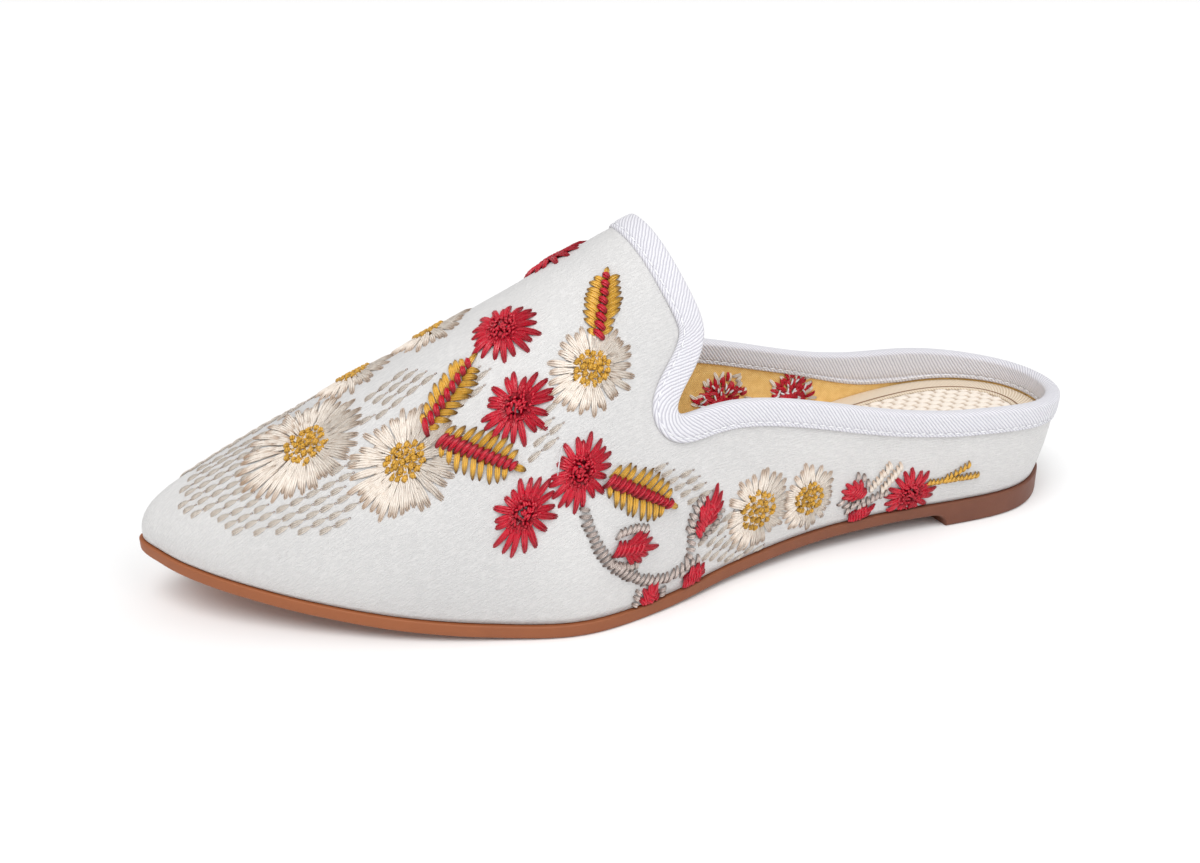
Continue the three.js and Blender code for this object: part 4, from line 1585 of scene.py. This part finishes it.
@dataclass(frozen=True)
class Aster:
    """A red flower of spiky satin petals round a rough heart."""

    home: tuple[float, float]
    along: float
    across: float
    petals: int = 18
    seed: int = 1
    tilt: float = -38.0

    def sew(self, ground: Ground) -> None:
        """Sews the flower, its longer way turned by the tilt in degrees."""
        random = np.random.default_rng(self.seed)
        middle = ground.at(*self.home)
        turn = once_round(random, self.petals, 0.24)
        size = 0.99 + 0.08 * np.cos(turn + 0.8) + random.uniform(-0.14, 0.08, self.petals)
        reach = np.array([self.along, self.across])
        spin = turning(self.tilt)
        out = (rays(turn) * reach) @ spin * ground.hand
        start, end = middle + out * 0.16, middle + out * size[:, None]
        ground.petals(Thread.RED, self.home, start, end, 1.0, 3, 0.36, 1.0, (0.8, 0.4), (0.35, 0.66))
        # Painted shade: the heart's short stitches are near the dark hole colour, as the shade among them.
        for count, low, high, lift in ((30, 0.36, 0.52, 1.1), (26, 0.2, 0.38, 1.3), (16, 0.0, 0.22, 1.4)):
            turn = once_round(random, count, 0.4)
            spot = (rays(turn) * random.uniform(low, high, count)[:, None] * reach) @ spin
            lie = rays(turn + random.normal(0.0, 0.8, count)) * random.uniform(0.55, 0.9, count)[:, None]
            start, end = ground.across(middle, spot, lie)
            ground.sew(Thread.RED, self.home, start, end, 0.33, lift, 0.0, (1.0, 0.7))


@dataclass(frozen=True)
class Daisy:
    """A cream flower of long fine rays round a ring of gold knots."""

    home: tuple[float, float]
    along: float
    across: float
    ring: float
    seed: int = 1
    # dull: how much darker the rays towards the shadow heading are painted, as shade where their sheen falls off
    dull: float = 0.0
    shadow: float = 150.0
    stretch: float = 0.0
    tilt: float = 0.0

    def sew(self, ground: Ground) -> None:
        """Sews the flower, with the rays that lie towards its shadow longer and painted darker, as shade where their
        sheen falls off.
        """
        random = np.random.default_rng(self.seed)
        middle = ground.at(*self.home)
        rim = np.pi * (self.along + self.across)
        for inner, outer, spread, pitch, width, strands, lift, dark in (
            (0.42, 1.0, 0.10, 1.75, 1.0, 3, 0.60, 0.95),
            (0.32, 0.80, 0.12, 1.65, 0.5, 2, 0.85, 0.50),
            (0.20, 0.54, 0.06, 1.3, 0.5, 2, 0.95, 0.25),
            (0.02, 0.34, 0.10, 1.3, 0.5, 2, 0.80, 0.30),
        ):
            count = int(rim * (inner + 2 * outer) / 3 / pitch)
            turn = once_round(random, count, 0.3)
            toward = np.cos(turn - math.radians(self.shadow))
            lean = turn - math.radians(self.tilt)
            reach = (self.along * self.across) / np.hypot(self.across * np.cos(lean), self.along * np.sin(lean))
            reach = reach * (1 + self.stretch * toward)
            out = rays(turn) * ground.hand
            # Painted shade: rays towards the shadow heading darken where their sheen falls off.
            dull = self.dull * np.clip(toward, 0, 1) ** 1.5
            root = middle + out * (reach * inner * random.uniform(0.92, 1.08, count))[:, None]
            tip = middle + out * (reach * outer * random.uniform(1 - spread, 1 + spread, count))[:, None]
            shade = (0.15 + dull * 1.2, dark + dull)
            ground.petals(Thread.CREAM, self.home, root, tip, width, strands, 0.29, lift, shade, (0.3, 0.75))
        self._heart(ground, middle, random)

    def _heart(self, ground: Ground, middle: Array, random: np.random.Generator) -> None:
        """Sews the gold knots over a bed of short stitches painted dark, as the shade between the knots."""
        flat = 0.76 if self.tilt else self.across / self.along * 0.15 + 0.85
        oval = np.diag([1.0, flat]) @ turning(self.tilt)
        # Painted shade: a bed of short gold stitches near the dark hole colour stands for the shade between the knots.
        count = int(self.ring * 11)
        turn = np.arange(count) * GOLDEN_TURN
        far = self.ring * np.linspace(0.3, 1.16, count)[:, None] * random.uniform(0.94, 1.06, (count, 1))
        spot = (rays(turn) * far) @ oval
        lie = rays(turn + random.uniform(-1.3, 1.3, count)) * random.uniform(0.45, 0.8, count)[:, None]
        start, end = ground.across(middle, spot, lie)
        ground.petals(Thread.GOLD, self.home, start, end, 0.4, 2, 0.25, 1.0, (1.3, 0.9), (0.7, 0.7))
        for count, radius in ((15, self.ring), (8, self.ring * 0.54), (2, self.ring * 0.15)):
            turn = once_round(random, count, 0.25)
            far = radius * random.uniform(0.88, 1.1, count)[:, None]
            spot = (rays(turn) * far) @ oval
            lie = rays(turn + np.pi / 2 + random.uniform(-1.2, 1.2, count)) * random.uniform(0.75, 1.1, count)[:, None]
            start, end = ground.across(middle, spot, lie)
            ground.petals(Thread.GOLD, self.home, start, end, 0.95, 3, 0.28, 1.35, (1.0, 0.6), (0.8, 0.8))
            lie = left_of(lie) * 0.8 + lie * random.uniform(-0.4, 0.4, (count, 1))
            start, end = ground.across(middle, spot, lie)
            ground.petals(Thread.GOLD, self.home, start, end, 0.55, 2, 0.26, 1.65, (1.1, 0.8), (0.7, 0.7))


@dataclass(frozen=True)
class Leaf:
    """A gold leaf of slanting satin stitches with a red middle."""

    base: tuple[float, float]
    tip: tuple[float, float]
    width: float = 5.2
    ribs: int = 9
    seed: int = 1

    def sew(self, ground: Ground) -> None:
        """Sews the leaf."""
        random = np.random.default_rng(self.seed)
        base, tip = ground.at(*self.base), ground.at(*self.tip)
        home = ((self.base[0] + self.tip[0]) / 2, (self.base[1] + self.tip[1]) / 2)
        length = float(np.linalg.norm(tip - base))
        axis = (tip - base) / length
        left = left_of(axis)
        share = (np.arange(self.ribs) + 0.3) / self.ribs
        for side in (-1.0, 1.0):
            reach = self.width * np.sin(np.pi * (0.16 + 0.74 * share)) ** 0.65 * random.uniform(0.90, 1.08, self.ribs)
            root = base + axis * ((share * 0.86) * length)[:, None] + left * side * 0.3
            end = root + left * side * reach[:, None] + axis * (reach * random.uniform(0.45, 0.65, self.ribs))[:, None]
            # Painted shade: each rib darkens to the hole colour at its outer end, as the shade at its needle holes.
            ground.petals(Thread.GOLD, home, root, end, 0.92, 3, 0.33, 1.0, (0.4, 1.0), (0.8, 0.4))
        ground.petals(Thread.GOLD, home, tip - axis * 3.2, tip + axis * 0.9, 0.9, 3, 0.34, 1.0, (0.4, 1.0), (0.8, 0.4))
        count = int(0.86 * length / 1.66)
        spine = base + axis * (np.linspace(0.03, 0.88, count) * length)[:, None]
        slim = (np.linspace(1.0, 0.6, count) * random.uniform(0.86, 1.12, count))[:, None]
        lean = left * 2.1 + axis * (1.3 * ground.hand[1])
        start, end = spine - lean * slim, spine + lean * slim
        # Painted shade: the red spine stitches darken at both ends, at their needle holes.
        ground.petals(Thread.RED, home, start, end, 0.85, 3, 0.35, 1.9, (1.0, 0.8), (0.5, 0.5))


@dataclass(frozen=True)
class Cord:
    """A raised line of short stitches laid across a path."""

    path: tuple[tuple[float, float], ...]
    thread: Thread
    width: float = 3.1
    pitch: float = 1.72
    slant: float = 0.5
    spread: float = 0.46
    seed: int = 1

    def sew(self, ground: Ground) -> None:
        """Sews the line."""
        random = np.random.default_rng(self.seed)
        places = np.array([ground.at(*place) for place in self.path])
        fine = []
        padded = np.concatenate([[2 * places[0] - places[1]], places, [2 * places[-1] - places[-2]]])
        for i in range(len(places) - 1):
            f = np.linspace(0, 1, 20, endpoint=False)[:, None]
            fine.append(through(list(padded[i : i + 4]), f))
        fine = np.concatenate([*fine, places[-1:]])
        run = np.concatenate([[0.0], np.cumsum(np.linalg.norm(np.diff(fine, axis=0), axis=-1))])
        count = max(2, int(run[-1] / self.pitch))
        spots = (np.arange(count) + 0.5) * run[-1] / count
        middle = np.stack([np.interp(spots, run, fine[:, k]) for k in (0, 1)], axis=-1)
        ahead = np.stack([np.interp(spots + 0.5, run, fine[:, k]) for k in (0, 1)], axis=-1)
        behind = np.stack([np.interp(spots - 0.5, run, fine[:, k]) for k in (0, 1)], axis=-1)
        axis = unit(ahead - behind)
        slant = (self.slant + random.uniform(-0.22, 0.22, count)) * ground.hand[1]
        cross = left_of(axis) + axis * slant[:, None]
        half = self.width / 2 * random.uniform(0.82, 1.12, count)[:, None]
        start, end = middle - cross * half, middle + cross * half
        which = np.clip((spots / max(run[-1], 1e-6) * (len(self.path) - 1)).astype(int), 0, len(self.path) - 1)
        for place in np.unique(which):
            pick = which == place
            near = self.path[place]
            # Painted shade: the stitches darken at both ends, as the shade at their needle holes.
            ground.petals(self.thread, near, start[pick], end[pick], self.spread, 2, 0.32, 1.1, (1.0, 0.9), (0.4, 0.4))


@dataclass(frozen=True)
class Bud:
    """A small red bud of a few lobes between grey leaflets."""

    home: tuple[float, float]
    heading: float
    length: float
    spread: float = 55.0
    lobes: int = 7
    leaflets: int = 6
    seed: int = 1

    def sew(self, ground: Ground) -> None:
        """Sews the bud."""
        random = np.random.default_rng(self.seed)
        middle = ground.at(*self.home)
        ahead = rays(np.array(math.radians(self.heading)))
        root = -ahead * self.length * 0.45
        turn = np.radians(self.heading + np.linspace(-self.spread, self.spread, self.lobes))
        fan = np.abs(np.linspace(-1, 1, self.lobes))
        foot = root + ahead * (0.25 - 0.12 * fan)[:, None] * self.length
        size = self.length * (0.72 - 0.24 * fan) * random.uniform(0.9, 1.1, self.lobes)
        out = rays(turn)
        start, end = middle + (foot - out * 0.6) * ground.hand, middle + (foot + out * size[:, None]) * ground.hand
        ground.petals(Thread.RED, self.home, start, end, 1.05, 3, 0.38, 1.2, (0.7, 0.3), (0.5, 0.5))
        cross = left_of(ahead)
        body = root + ahead * np.linspace(-0.04, 0.5, 6)[:, None] * self.length
        lean = cross * 1.9 + ahead * 0.8
        start, end = ground.across(middle, body, lean)
        ground.petals(Thread.RED, self.home, start, end, 0.9, 3, 0.38, 1.45, (0.7, 0.5), (0.6, 0.6))
        if not self.leaflets:
            return
        for side in (-1.0, 1.0):
            share = np.linspace(-0.12, 0.5, self.leaflets)[:, None]
            seat = root + ahead * share * self.length + cross * side * (1.9 + 1.4 * np.sin(np.pi * (share + 0.2)))
            end = seat + cross * side * 2.3 + ahead * random.uniform(0.7, 1.4, (self.leaflets, 1))
            start, end = middle + seat * ground.hand, middle + end * ground.hand
            ground.petals(Thread.GREY, self.home, start, end, 0.5, 2, 0.34, 1.0, (0.6, 0.95), (0.7, 0.6))


@dataclass(frozen=True)
class Net:
    """Rows of cream dashes that fill an outlined area round the flowers."""

    outline: tuple[tuple[float, float], ...]
    heading: float
    row: float = 2.45
    dash: float = 4.3
    seed: int = 1

    def sew(self, ground: Ground, taken: Sequence[tuple[Array, float, float]]) -> None:
        """Sews the dashes that lie clear of the flowers.

        Args:
            ground: the side of the upper.
            taken: middle, reach along and reach across of each flower.
        """
        random = np.random.default_rng(self.seed)
        corners = np.array([ground.at(*place) for place in self.outline])
        middle = corners.mean(axis=0)
        ahead = rays(np.array(math.radians(self.heading)))
        axis, cross = ahead * ground.hand, left_of(ahead) * ground.hand
        local = np.stack([(corners - middle) @ axis, (corners - middle) @ cross], axis=-1)
        low, high = local.min(axis=0), local.max(axis=0)
        rows = np.arange(low[1], high[1] + self.row, self.row)
        spots = []
        for number, y in enumerate(rows):
            xs = np.arange(low[0] - self.dash, high[0] + self.dash, self.dash) + (-0.44 * number % 1.0) * self.dash
            spots.append(np.stack([xs, np.full_like(xs, y)], axis=-1))
        spots = np.concatenate(spots) + random.uniform(-0.18, 0.18, (sum(map(len, spots)), 2))
        kept = self._inside(spots, local)
        flat = middle + spots[:, :1] * axis + spots[:, 1:] * cross
        for center, along, across in taken:
            off = (flat - center) / np.array([along, across])
            kept &= (off**2).sum(-1) > 0.86
        flat = flat[kept]
        if not len(flat):
            return
        nearest = np.argmin(np.linalg.norm(flat[:, None] - corners[None], axis=-1), axis=1)
        for place in np.unique(nearest):
            some = flat[nearest == place]
            half = axis * self.dash * 0.46
            near = self.outline[place]
            # Painted shade and light: each dash darkens at its root, as shade at its needle holes, and its tip is
            # painted lighter than the thread, making up for dim light on the flat dashes.
            ground.petals(Thread.CREAM, near, some - half, some + half, 0.86, 3, 0.23, 0.45, (0.5, -0.2), (0.9, 0.15))
            # Painted shade: a dark dot past each dash's tip stands for the shade in the needle holes there.
            dot = some + half * 1.08
            ground.sew(Thread.GREY, near, dot - axis * 0.3, dot + axis * 0.3, 0.24, 0.25, 0.0, (1.0, 1.0))

    @staticmethod
    def _inside(points: Array, outline: Array) -> Array:
        """Which points lie within a closed outline."""
        inside = np.zeros(len(points), bool)
        x, y = points[:, 0], points[:, 1]
        for (x1, y1), (x2, y2) in zip(outline, np.roll(outline, -1, axis=0)):
            crosses = (y1 > y) != (y2 > y)
            at = x1 + (y - y1) * (x2 - x1) / (y2 - y1 if abs(y2 - y1) > 1e-9 else 1e-9)
            inside ^= crosses & (x < at)
        return inside


@dataclass(frozen=True)
class Reverse:
    """The back of a red flower on the lining: ragged red stitches between pale loose ends."""

    home: tuple[float, float]
    radius: float
    seed: int = 1

    def sew(self, ground: Ground) -> None:
        """Sews the patch."""
        random = np.random.default_rng(self.seed)
        middle = ground.at(*self.home)
        for thread, count, low, high, long, lift in (
            (Thread.CREAM, 24, 0.66, 0.95, 1.9, 0.6),
            (Thread.GREY, 7, 0.62, 0.90, 1.6, 0.7),
            (Thread.RED, 40, 0.45, 0.82, 2.0, 0.8),
            (Thread.RED, 36, 0.0, 0.52, 1.8, 1.0),
            (Thread.WHITE, 22, 0.15, 0.75, 1.5, 1.1),
        ):
            turn = once_round(random, count, 0.5)
            spot = rays(turn) * (random.uniform(low, high, count) * self.radius)[:, None]
            lie = rays(turn + random.normal(0.0, 0.45, count)) * (long * random.uniform(0.6, 1.1, count))[:, None]
            start, end = ground.across(middle, spot, lie)
            strands = 1 if thread is Thread.WHITE else 2
            ground.petals(thread, self.home, start, end, 0.5, strands, 0.32, lift, (0.35, 0.05), (0.6, 0.6))


@dataclass(frozen=True)
class LooseThread:
    """A thread that crosses the cloth without being sewn down."""

    path: tuple[tuple[float, float], tuple[float, float]]
    thread: Thread
    lift: float = 2.0

    def sew(self, ground: Ground) -> None:
        """Lays the thread."""
        start, end = (ground.at(*place) for place in self.path)
        ground.sew(self.thread, self.path[0], start, end, 0.15, self.lift, 0.4, (0.0, 0.0))


ASTERS = (
    Aster((6.55, 0.565), 10.2, 8.2, 19, 12),
    Aster((7.07, 0.352), 9.0, 8.4, 20, 13),
    Aster((6.44, 0.298), 9.4, 8.2, 18, 14),
)
OUTER_ASTERS = (Aster((6.62, 0.820), 10.2, 8.0, 20, 11), Aster((11.17, 0.038), 8.4, 8.4, 17, 15))
RIDGE_ASTERS = (Aster((7.45, 1.15), 9.0, 8.2, 18, 16, 0.0),)
INNER_ASTERS = (Aster((9.84, 0.150), 9.0, 9.0, 18, 17), Aster((10.80, 0.130), 7.2, 7.2, 15, 18))
REVERSES = (Reverse((9.82, 0.150), 9.6, 71), Reverse((10.70, 0.135), 8.4, 72))
DAISIES = (
    Daisy((5.30, 0.532), 16.2, 11.6, 4.9, 22, 0.15, tilt=-30.0),
    Daisy((7.38, 0.563), 12.8, 9.8, 4.6, 23, 0.30, -40.0, tilt=-30.0),
)
OUTER_DAISIES = (
    Daisy((4.17, 0.74), 17.8, 12.8, 5.3, 21, 0.85, 122.0, 0.20, -28.0),
    Daisy((9.25, 0.097), 10.2, 10.8, 4.7, 24),
    Daisy((9.89, 0.085), 8.0, 10.0, 3.7, 25),
)
RIDGE_DAISIES = (
    Daisy((6.01, 1.14), 11.2, 11.4, 4.0, 26, 0.4, 60.0),
    Daisy((4.98, 1.14), 11.2, 11.4, 4.0, 27, 0.5, 60.0),
)
INNER_DAISIES = (Daisy((4.17, 0.56), 15.6, 12.6, 5.3, 29, 0.3), Daisy((9.02, 0.075), 9.6, 9.6, 4.4, 28))
LEAVES = (
    Leaf((7.52, 0.628), (7.81, 0.805), 5.2, 9, 31),
    Leaf((5.72, 0.560), (6.50, 0.403), 5.0, 9, 33),
    Leaf((7.36, 0.308), (8.16, 0.185), 5.4, 9, 34),
)
OUTER_LEAVES = (Leaf((5.58, 0.612), (6.28, 0.780), 5.6, 9, 32),)
STEM = Cord(
    (
        (7.07, 0.273), (7.08, 0.238), (7.15, 0.193), (7.21, 0.160), (7.33, 0.122), (7.48, 0.093), (7.69, 0.062),
        (7.91, 0.045), (8.14, 0.043), (8.31, 0.060), (8.36, 0.093), (8.36, 0.128), (8.44, 0.165),
    ),
    Thread.GREY,
    seed=41,
)
SPRIGS = (
    Cord(((11.41, 0.057), (11.83, 0.058), (12.26, 0.058)), Thread.GOLD, 1.9, 1.25, 0.9, 0.4, 42),
    Cord(((11.70, 0.060), (11.90, 0.074), (12.09, 0.090)), Thread.GOLD, 1.9, 1.25, 0.9, 0.4, 43),
)
OUTER_SPRIGS = (
    Cord(((10.62, 0.066), (10.74, 0.092), (10.86, 0.118)), Thread.CREAM, 2.4, 1.2, 0.8, 0.5, 44),
    Cord(((10.76, 0.058), (10.88, 0.084), (11.00, 0.112)), Thread.CREAM, 2.4, 1.2, 0.8, 0.5, 45),
    Cord(((10.50, 0.030), (10.70, 0.046), (10.86, 0.052)), Thread.GREY, 2.6, 1.3, 0.4, 0.5, 46),
)
BUDS = (
    Bud((8.61, 0.145), 48.0, 12.5, 45.0, 6, 6, 53),
    Bud((7.66, 0.135), -24.0, 14.0, 42.0, 7, 7, 54),
    Bud((8.43, 0.018), 8.0, 8.5, 60.0, 6, 4, 55),
    Bud((7.81, 0.018), 70.0, 8.5, 55.0, 6, 5, 56),
)
OUTER_BUDS = (Bud((10.41, 0.075), 150.0, 7.5, 70.0, 6, 3, 51), Bud((10.58, 0.015), 20.0, 8.5, 40.0, 5, 4, 52))
NETS = (
    Net(
        (
            (1.59, 0.580), (1.00, 0.815), (1.49, 1.0), (2.54, 1.0), (3.53, 1.0), (4.17, 1.0), (4.69, 0.790),
            (4.85, 0.412), (4.41, 0.315), (3.86, 0.345), (3.23, 0.328), (2.65, 0.405), (1.84, 0.478),
        ),
        -11.0,
        seed=61,
    ),
    Net(((5.93, 0.620), (6.21, 0.632), (6.45, 0.793), (6.23, 0.787), (5.92, 0.762)), 5.0, seed=63),
    Net(((6.54, 0.398), (6.85, 0.417), (6.99, 0.532), (6.85, 0.562), (6.66, 0.465)), 5.0, seed=67),
    Net(
        (
            (7.76, 0.298), (7.94, 0.287), (8.25, 0.258), (8.50, 0.218), (8.71, 0.193), (8.65, 0.162), (8.36, 0.173),
            (8.13, 0.222), (7.93, 0.258),
        ),
        0.0,
        seed=64,
    ),
    Net(
        (
            (8.49, 0.078), (8.57, 0.108), (8.74, 0.117), (8.96, 0.113), (9.35, 0.027), (9.51, 0.0), (9.10, 0.0),
            (8.72, 0.0), (8.53, 0.042),
        ),
        23.0,
        seed=65,
    ),
)
OUTER_NETS = (
    Net(((5.00, 0.852), (5.41, 0.915), (5.72, 0.892), (5.78, 0.780), (5.59, 0.743), (5.16, 0.715)), 3.5, seed=62),
    Net(((4.51, 0.828), (4.83, 0.895), (5.05, 0.733), (4.89, 0.660), (4.65, 0.695)), -4.0, seed=66),
)
CROSSING = LooseThread(((6.82, 0.352), (6.93, 0.428)), Thread.WHITE)


@dataclass
class Embroidery:
    """Every stitch of the embroidery, a piece for each thread and side."""

    last: Last
    upper: Upper
    steps: int = 6
    fine: int = 16
    dip: float = 0.12

    def _layout(self, side: Side) -> Ground:
        """Lays the motifs out on one side."""
        ground = Ground(self.last, side)
        outer = side is Side.OUTER
        daisies = DAISIES + (OUTER_DAISIES if outer else INNER_DAISIES)
        asters = ASTERS + (OUTER_ASTERS if outer else INNER_ASTERS)
        ridge = (*RIDGE_DAISIES, *RIDGE_ASTERS)
        extras = (*ridge, *OUTER_LEAVES, *OUTER_SPRIGS, *OUTER_BUDS, CROSSING) if outer else ()
        taken = [(ground.at(*flower.home), flower.along, flower.across) for flower in (*daisies, *asters)]
        taken += [(self.last.cloth(*flower.home), flower.along, flower.across) for flower in ridge]
        for net in (*NETS, *(OUTER_NETS if outer else ())):
            net.sew(ground, taken)
        for motif in (*daisies, *asters, *LEAVES, STEM, *SPRIGS, *BUDS, *extras):
            motif.sew(ground)
        return ground

    def _reverse(self) -> Ground:
        """Lays out the backs of the inner side's two red flowers on the lining."""
        ground = Ground(self.last, Side.INNER, inside=True)
        for patch in REVERSES:
            patch.sew(ground)
        return ground

    def _lay(self, rows: Array, inside: bool) -> tuple[Array, Array, Array]:
        """Lays stitches over the cloth.

        Args:
            rows: start, end, home, radius, lift, bow and shades of each stitch.
            inside: whether they lie on the lining.

        Returns:
            Points, radii and shades for each stitch's points.
        """
        last = self.last
        start, end, home = rows[:, 0:2], rows[:, 2:4], rows[:, 4:6]
        radius, lift, bow, first, final = (rows[:, k : k + 1] for k in range(6, 11))
        t = np.linspace(0, 1, self.fine)
        line = start[:, None] + (end - start)[:, None] * t[None, :, None]
        line = line + left_of(unit(end - start))[:, None] * (bow * 4 * t * (1 - t))[..., None]
        s, c = last.find(line, home[:, None])
        there = (c > 0.003) & (np.linalg.norm(last.cloth(s, c) - line, axis=-1) < 0.5)
        kept = there.sum(axis=1) > 2
        s, c, there, radius, lift = s[kept], c[kept], there[kept], radius[kept], lift[kept]
        first, final = first[kept], final[kept]
        low = there.argmax(axis=1) / (self.fine - 1)
        high = 1 - there[:, ::-1].argmax(axis=1) / (self.fine - 1)
        share = low[:, None] + (high - low)[:, None] * np.linspace(0, 1, self.steps)
        place = share * (self.fine - 1)
        i = np.minimum(place.astype(int), self.fine - 2)
        f = place - i
        row = np.arange(len(s))[:, None]
        s = s[row, i] * (1 - f) + s[row, i + 1] * f
        c = c[row, i] * (1 - f) + c[row, i + 1] * f
        arch = 1 - np.abs(2 * share - 1) ** 3
        height = lift * arch - self.dip
        thick = radius * (0.5 + 0.5 * np.sqrt(np.clip(np.sin(np.pi * share), 0, 1)))
        # Painted shade: each stitch darkens towards its ends, where it dives into its needle holes.
        shade = first * np.clip(1 - share / 0.42, 0, 1) + final * np.clip((share - 0.6) / 0.4, 0, 1)
        points = self.upper.surface(s, c, -self.upper.wall - height if inside else height)
        return points, thick, shade

    def build(self) -> None:
        """Sews everything."""
        sweep = ThreadSweep()
        materials = {thread: thread.material() for thread in Thread}
        grounds = [*(self._layout(side) for side in Side), self._reverse()]
        for ground in grounds:
            for thread, rows in ground.stitches.items():
                points, radius, shade = self._lay(np.concatenate(rows), ground.inside)
                where = "lining" if ground.inside else ground.side.name.lower()
                name = f"embroidery_{thread.name.lower()}_{where}"
                piece = sweep.sweep(name, self.last.metres(points), radius * MM, shade, materials[thread])
                settle(piece, ["upper"])


# ---------------------------------------------------------------- studio


@dataclass
class Studio:
    """Plain pale floor, soft lights and the camera."""

    target: tuple[float, float, float] = (-9.25, 0.0, 32.33)
    yaw: float = 19.49
    elevation: float = 22.89
    roll: float = 0.74
    distance: float = 329.2
    focal_pixels: float = 1236.84
    frame_width: float = 1200.0
    sensor: float = 36.0

    def camera(self, last: Last) -> None:
        """Places the camera at the photograph's viewing angle."""
        a, e, r = -math.radians(self.yaw), math.radians(self.elevation), math.radians(self.roll)
        back = np.array([math.sin(a) * math.cos(e), -math.cos(a) * math.cos(e), math.sin(e)])
        right = np.array([math.cos(a), math.sin(a), 0.0])
        up = np.cross(back, right)
        right, up = math.cos(r) * right - math.sin(r) * up, math.sin(r) * right + math.cos(r) * up
        place = last.metres(np.array(self.target) + back * self.distance)
        data = bpy.data.cameras.new("camera")
        data.sensor_width = self.sensor
        data.lens = self.sensor * self.focal_pixels / self.frame_width
        data.clip_start, data.clip_end = 0.01, 20.0
        camera = linked("camera", data)
        columns = np.column_stack([right, up, back, place])
        camera.matrix_world = Matrix([*columns.tolist(), [0.0, 0.0, 0.0, 1.0]])
        bpy.context.scene.camera = camera

    def floor(self, material: bpy.types.Material) -> None:
        """Lays the floor under the shoe."""
        mesh = bpy.data.meshes.new("floor")
        half = 6.0
        mesh.from_pydata([(-half, -half, 0), (half, -half, 0), (half, half, 0), (-half, half, 0)], [], [(0, 1, 2, 3)])
        floor = linked("floor", mesh)
        mesh.materials.append(material)

    def sun(self, name: str, towards_light: Sequence[float], spread: float, strength: float) -> None:
        """Adds an even soft light from one direction.

        Args:
            name: its name.
            towards_light: the direction that it comes from.
            spread: how wide it is seen, in degrees.
            strength: its irradiance.
        """
        data = bpy.data.lights.new(name, "SUN")
        data.energy, data.angle = strength, math.radians(spread)
        lamp = linked(name, data)
        lamp.rotation_euler = Vector(towards_light).to_track_quat("Z", "Y").to_euler()

    def softbox(
        self, last: Last, place: Sequence[float], target: Sequence[float], size: float, power: float
    ) -> None:
        """Adds a near soft light that falls off along the shoe.

        Args:
            last: the last, for the way to metres.
            place: where it stands, in millimetres over the last.
            target: where it points.
            size: its width in metres.
            power: its power.
        """
        data = bpy.data.lights.new("softbox", "AREA")
        data.shape, data.size, data.energy = "DISK", size, power
        lamp = linked("softbox", data)
        start, end = Vector(last.metres(np.array(place))), Vector(last.metres(np.array(target)))
        lamp.location = start
        lamp.rotation_euler = (start - end).to_track_quat("Z", "Y").to_euler()
        lamp.visible_camera = False

    def surroundings(self, strength: float) -> None:
        """Fills the room with even white light."""
        world = bpy.data.worlds.new("studio")
        world.use_nodes = True
        background = world.node_tree.nodes["Background"]
        background.inputs["Color"].default_value = (1.0, 1.0, 1.0, 1.0)
        background.inputs["Strength"].default_value = strength
        bpy.context.scene.world = world

    def build(self, last: Last) -> None:
        """Sets up camera, floor and lights."""
        self.camera(last)
        self.floor(Plaster().material())
        self.sun("key", (-0.3, -0.35, 0.9), spread=40.0, strength=1.5)
        self.sun("fill", (0.7, -0.6, 0.45), spread=70.0, strength=0.25)
        self.softbox(last, (30.0, -280.0, 260.0), (0.0, 0.0, 75.0), size=0.2, power=0.24)
        self.surroundings(0.64)
        view = bpy.context.scene.view_settings
        view.view_transform, view.look, view.exposure, view.gamma = "Standard", "None", 0.0, 1.0


def find_shift(last: Last) -> Array:
    """The way from the last's origin to the frame's, from the outsole's box.

    Args:
        last: the last, not yet shifted.

    Returns:
        The shift in millimetres.
    """
    low, high = (np.array(corner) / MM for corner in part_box("outsole"))
    m = last.measures(np.linspace(0, LOOP, 2001))
    at, across = last.plan(m, m["radius"])
    x = low[0] - (at.min() - last.length / 2)
    y = ((low[1] - across.min()) + (high[1] - across.max())) / 2
    return np.array([x, y, 0.0])


def main() -> None:
    """Builds the slipper piece by piece."""
    logging.basicConfig(level=logging.INFO, format="%(name)s %(message)s")
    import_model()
    last = Last()
    last.shift = find_shift(last)
    log.info("shift %s", np.round(last.shift, 3))
    studio = Studio()
    studio.build(last)
    upper = Upper(last)
    upper.build(Satin().material(), Lining().material())
    binding = Binding(last, upper)
    binding.build(Tape().material())
    Outsole(last).build(Rubber().material())
    insole = Insole(last)
    insole.build(Basket().material())
    InsoleBorder(last, insole).build(Ribbon().material())
    Seams(last, upper, binding).build()
    Embroidery(last, upper).build()


if __name__ == "__main__":
    main()
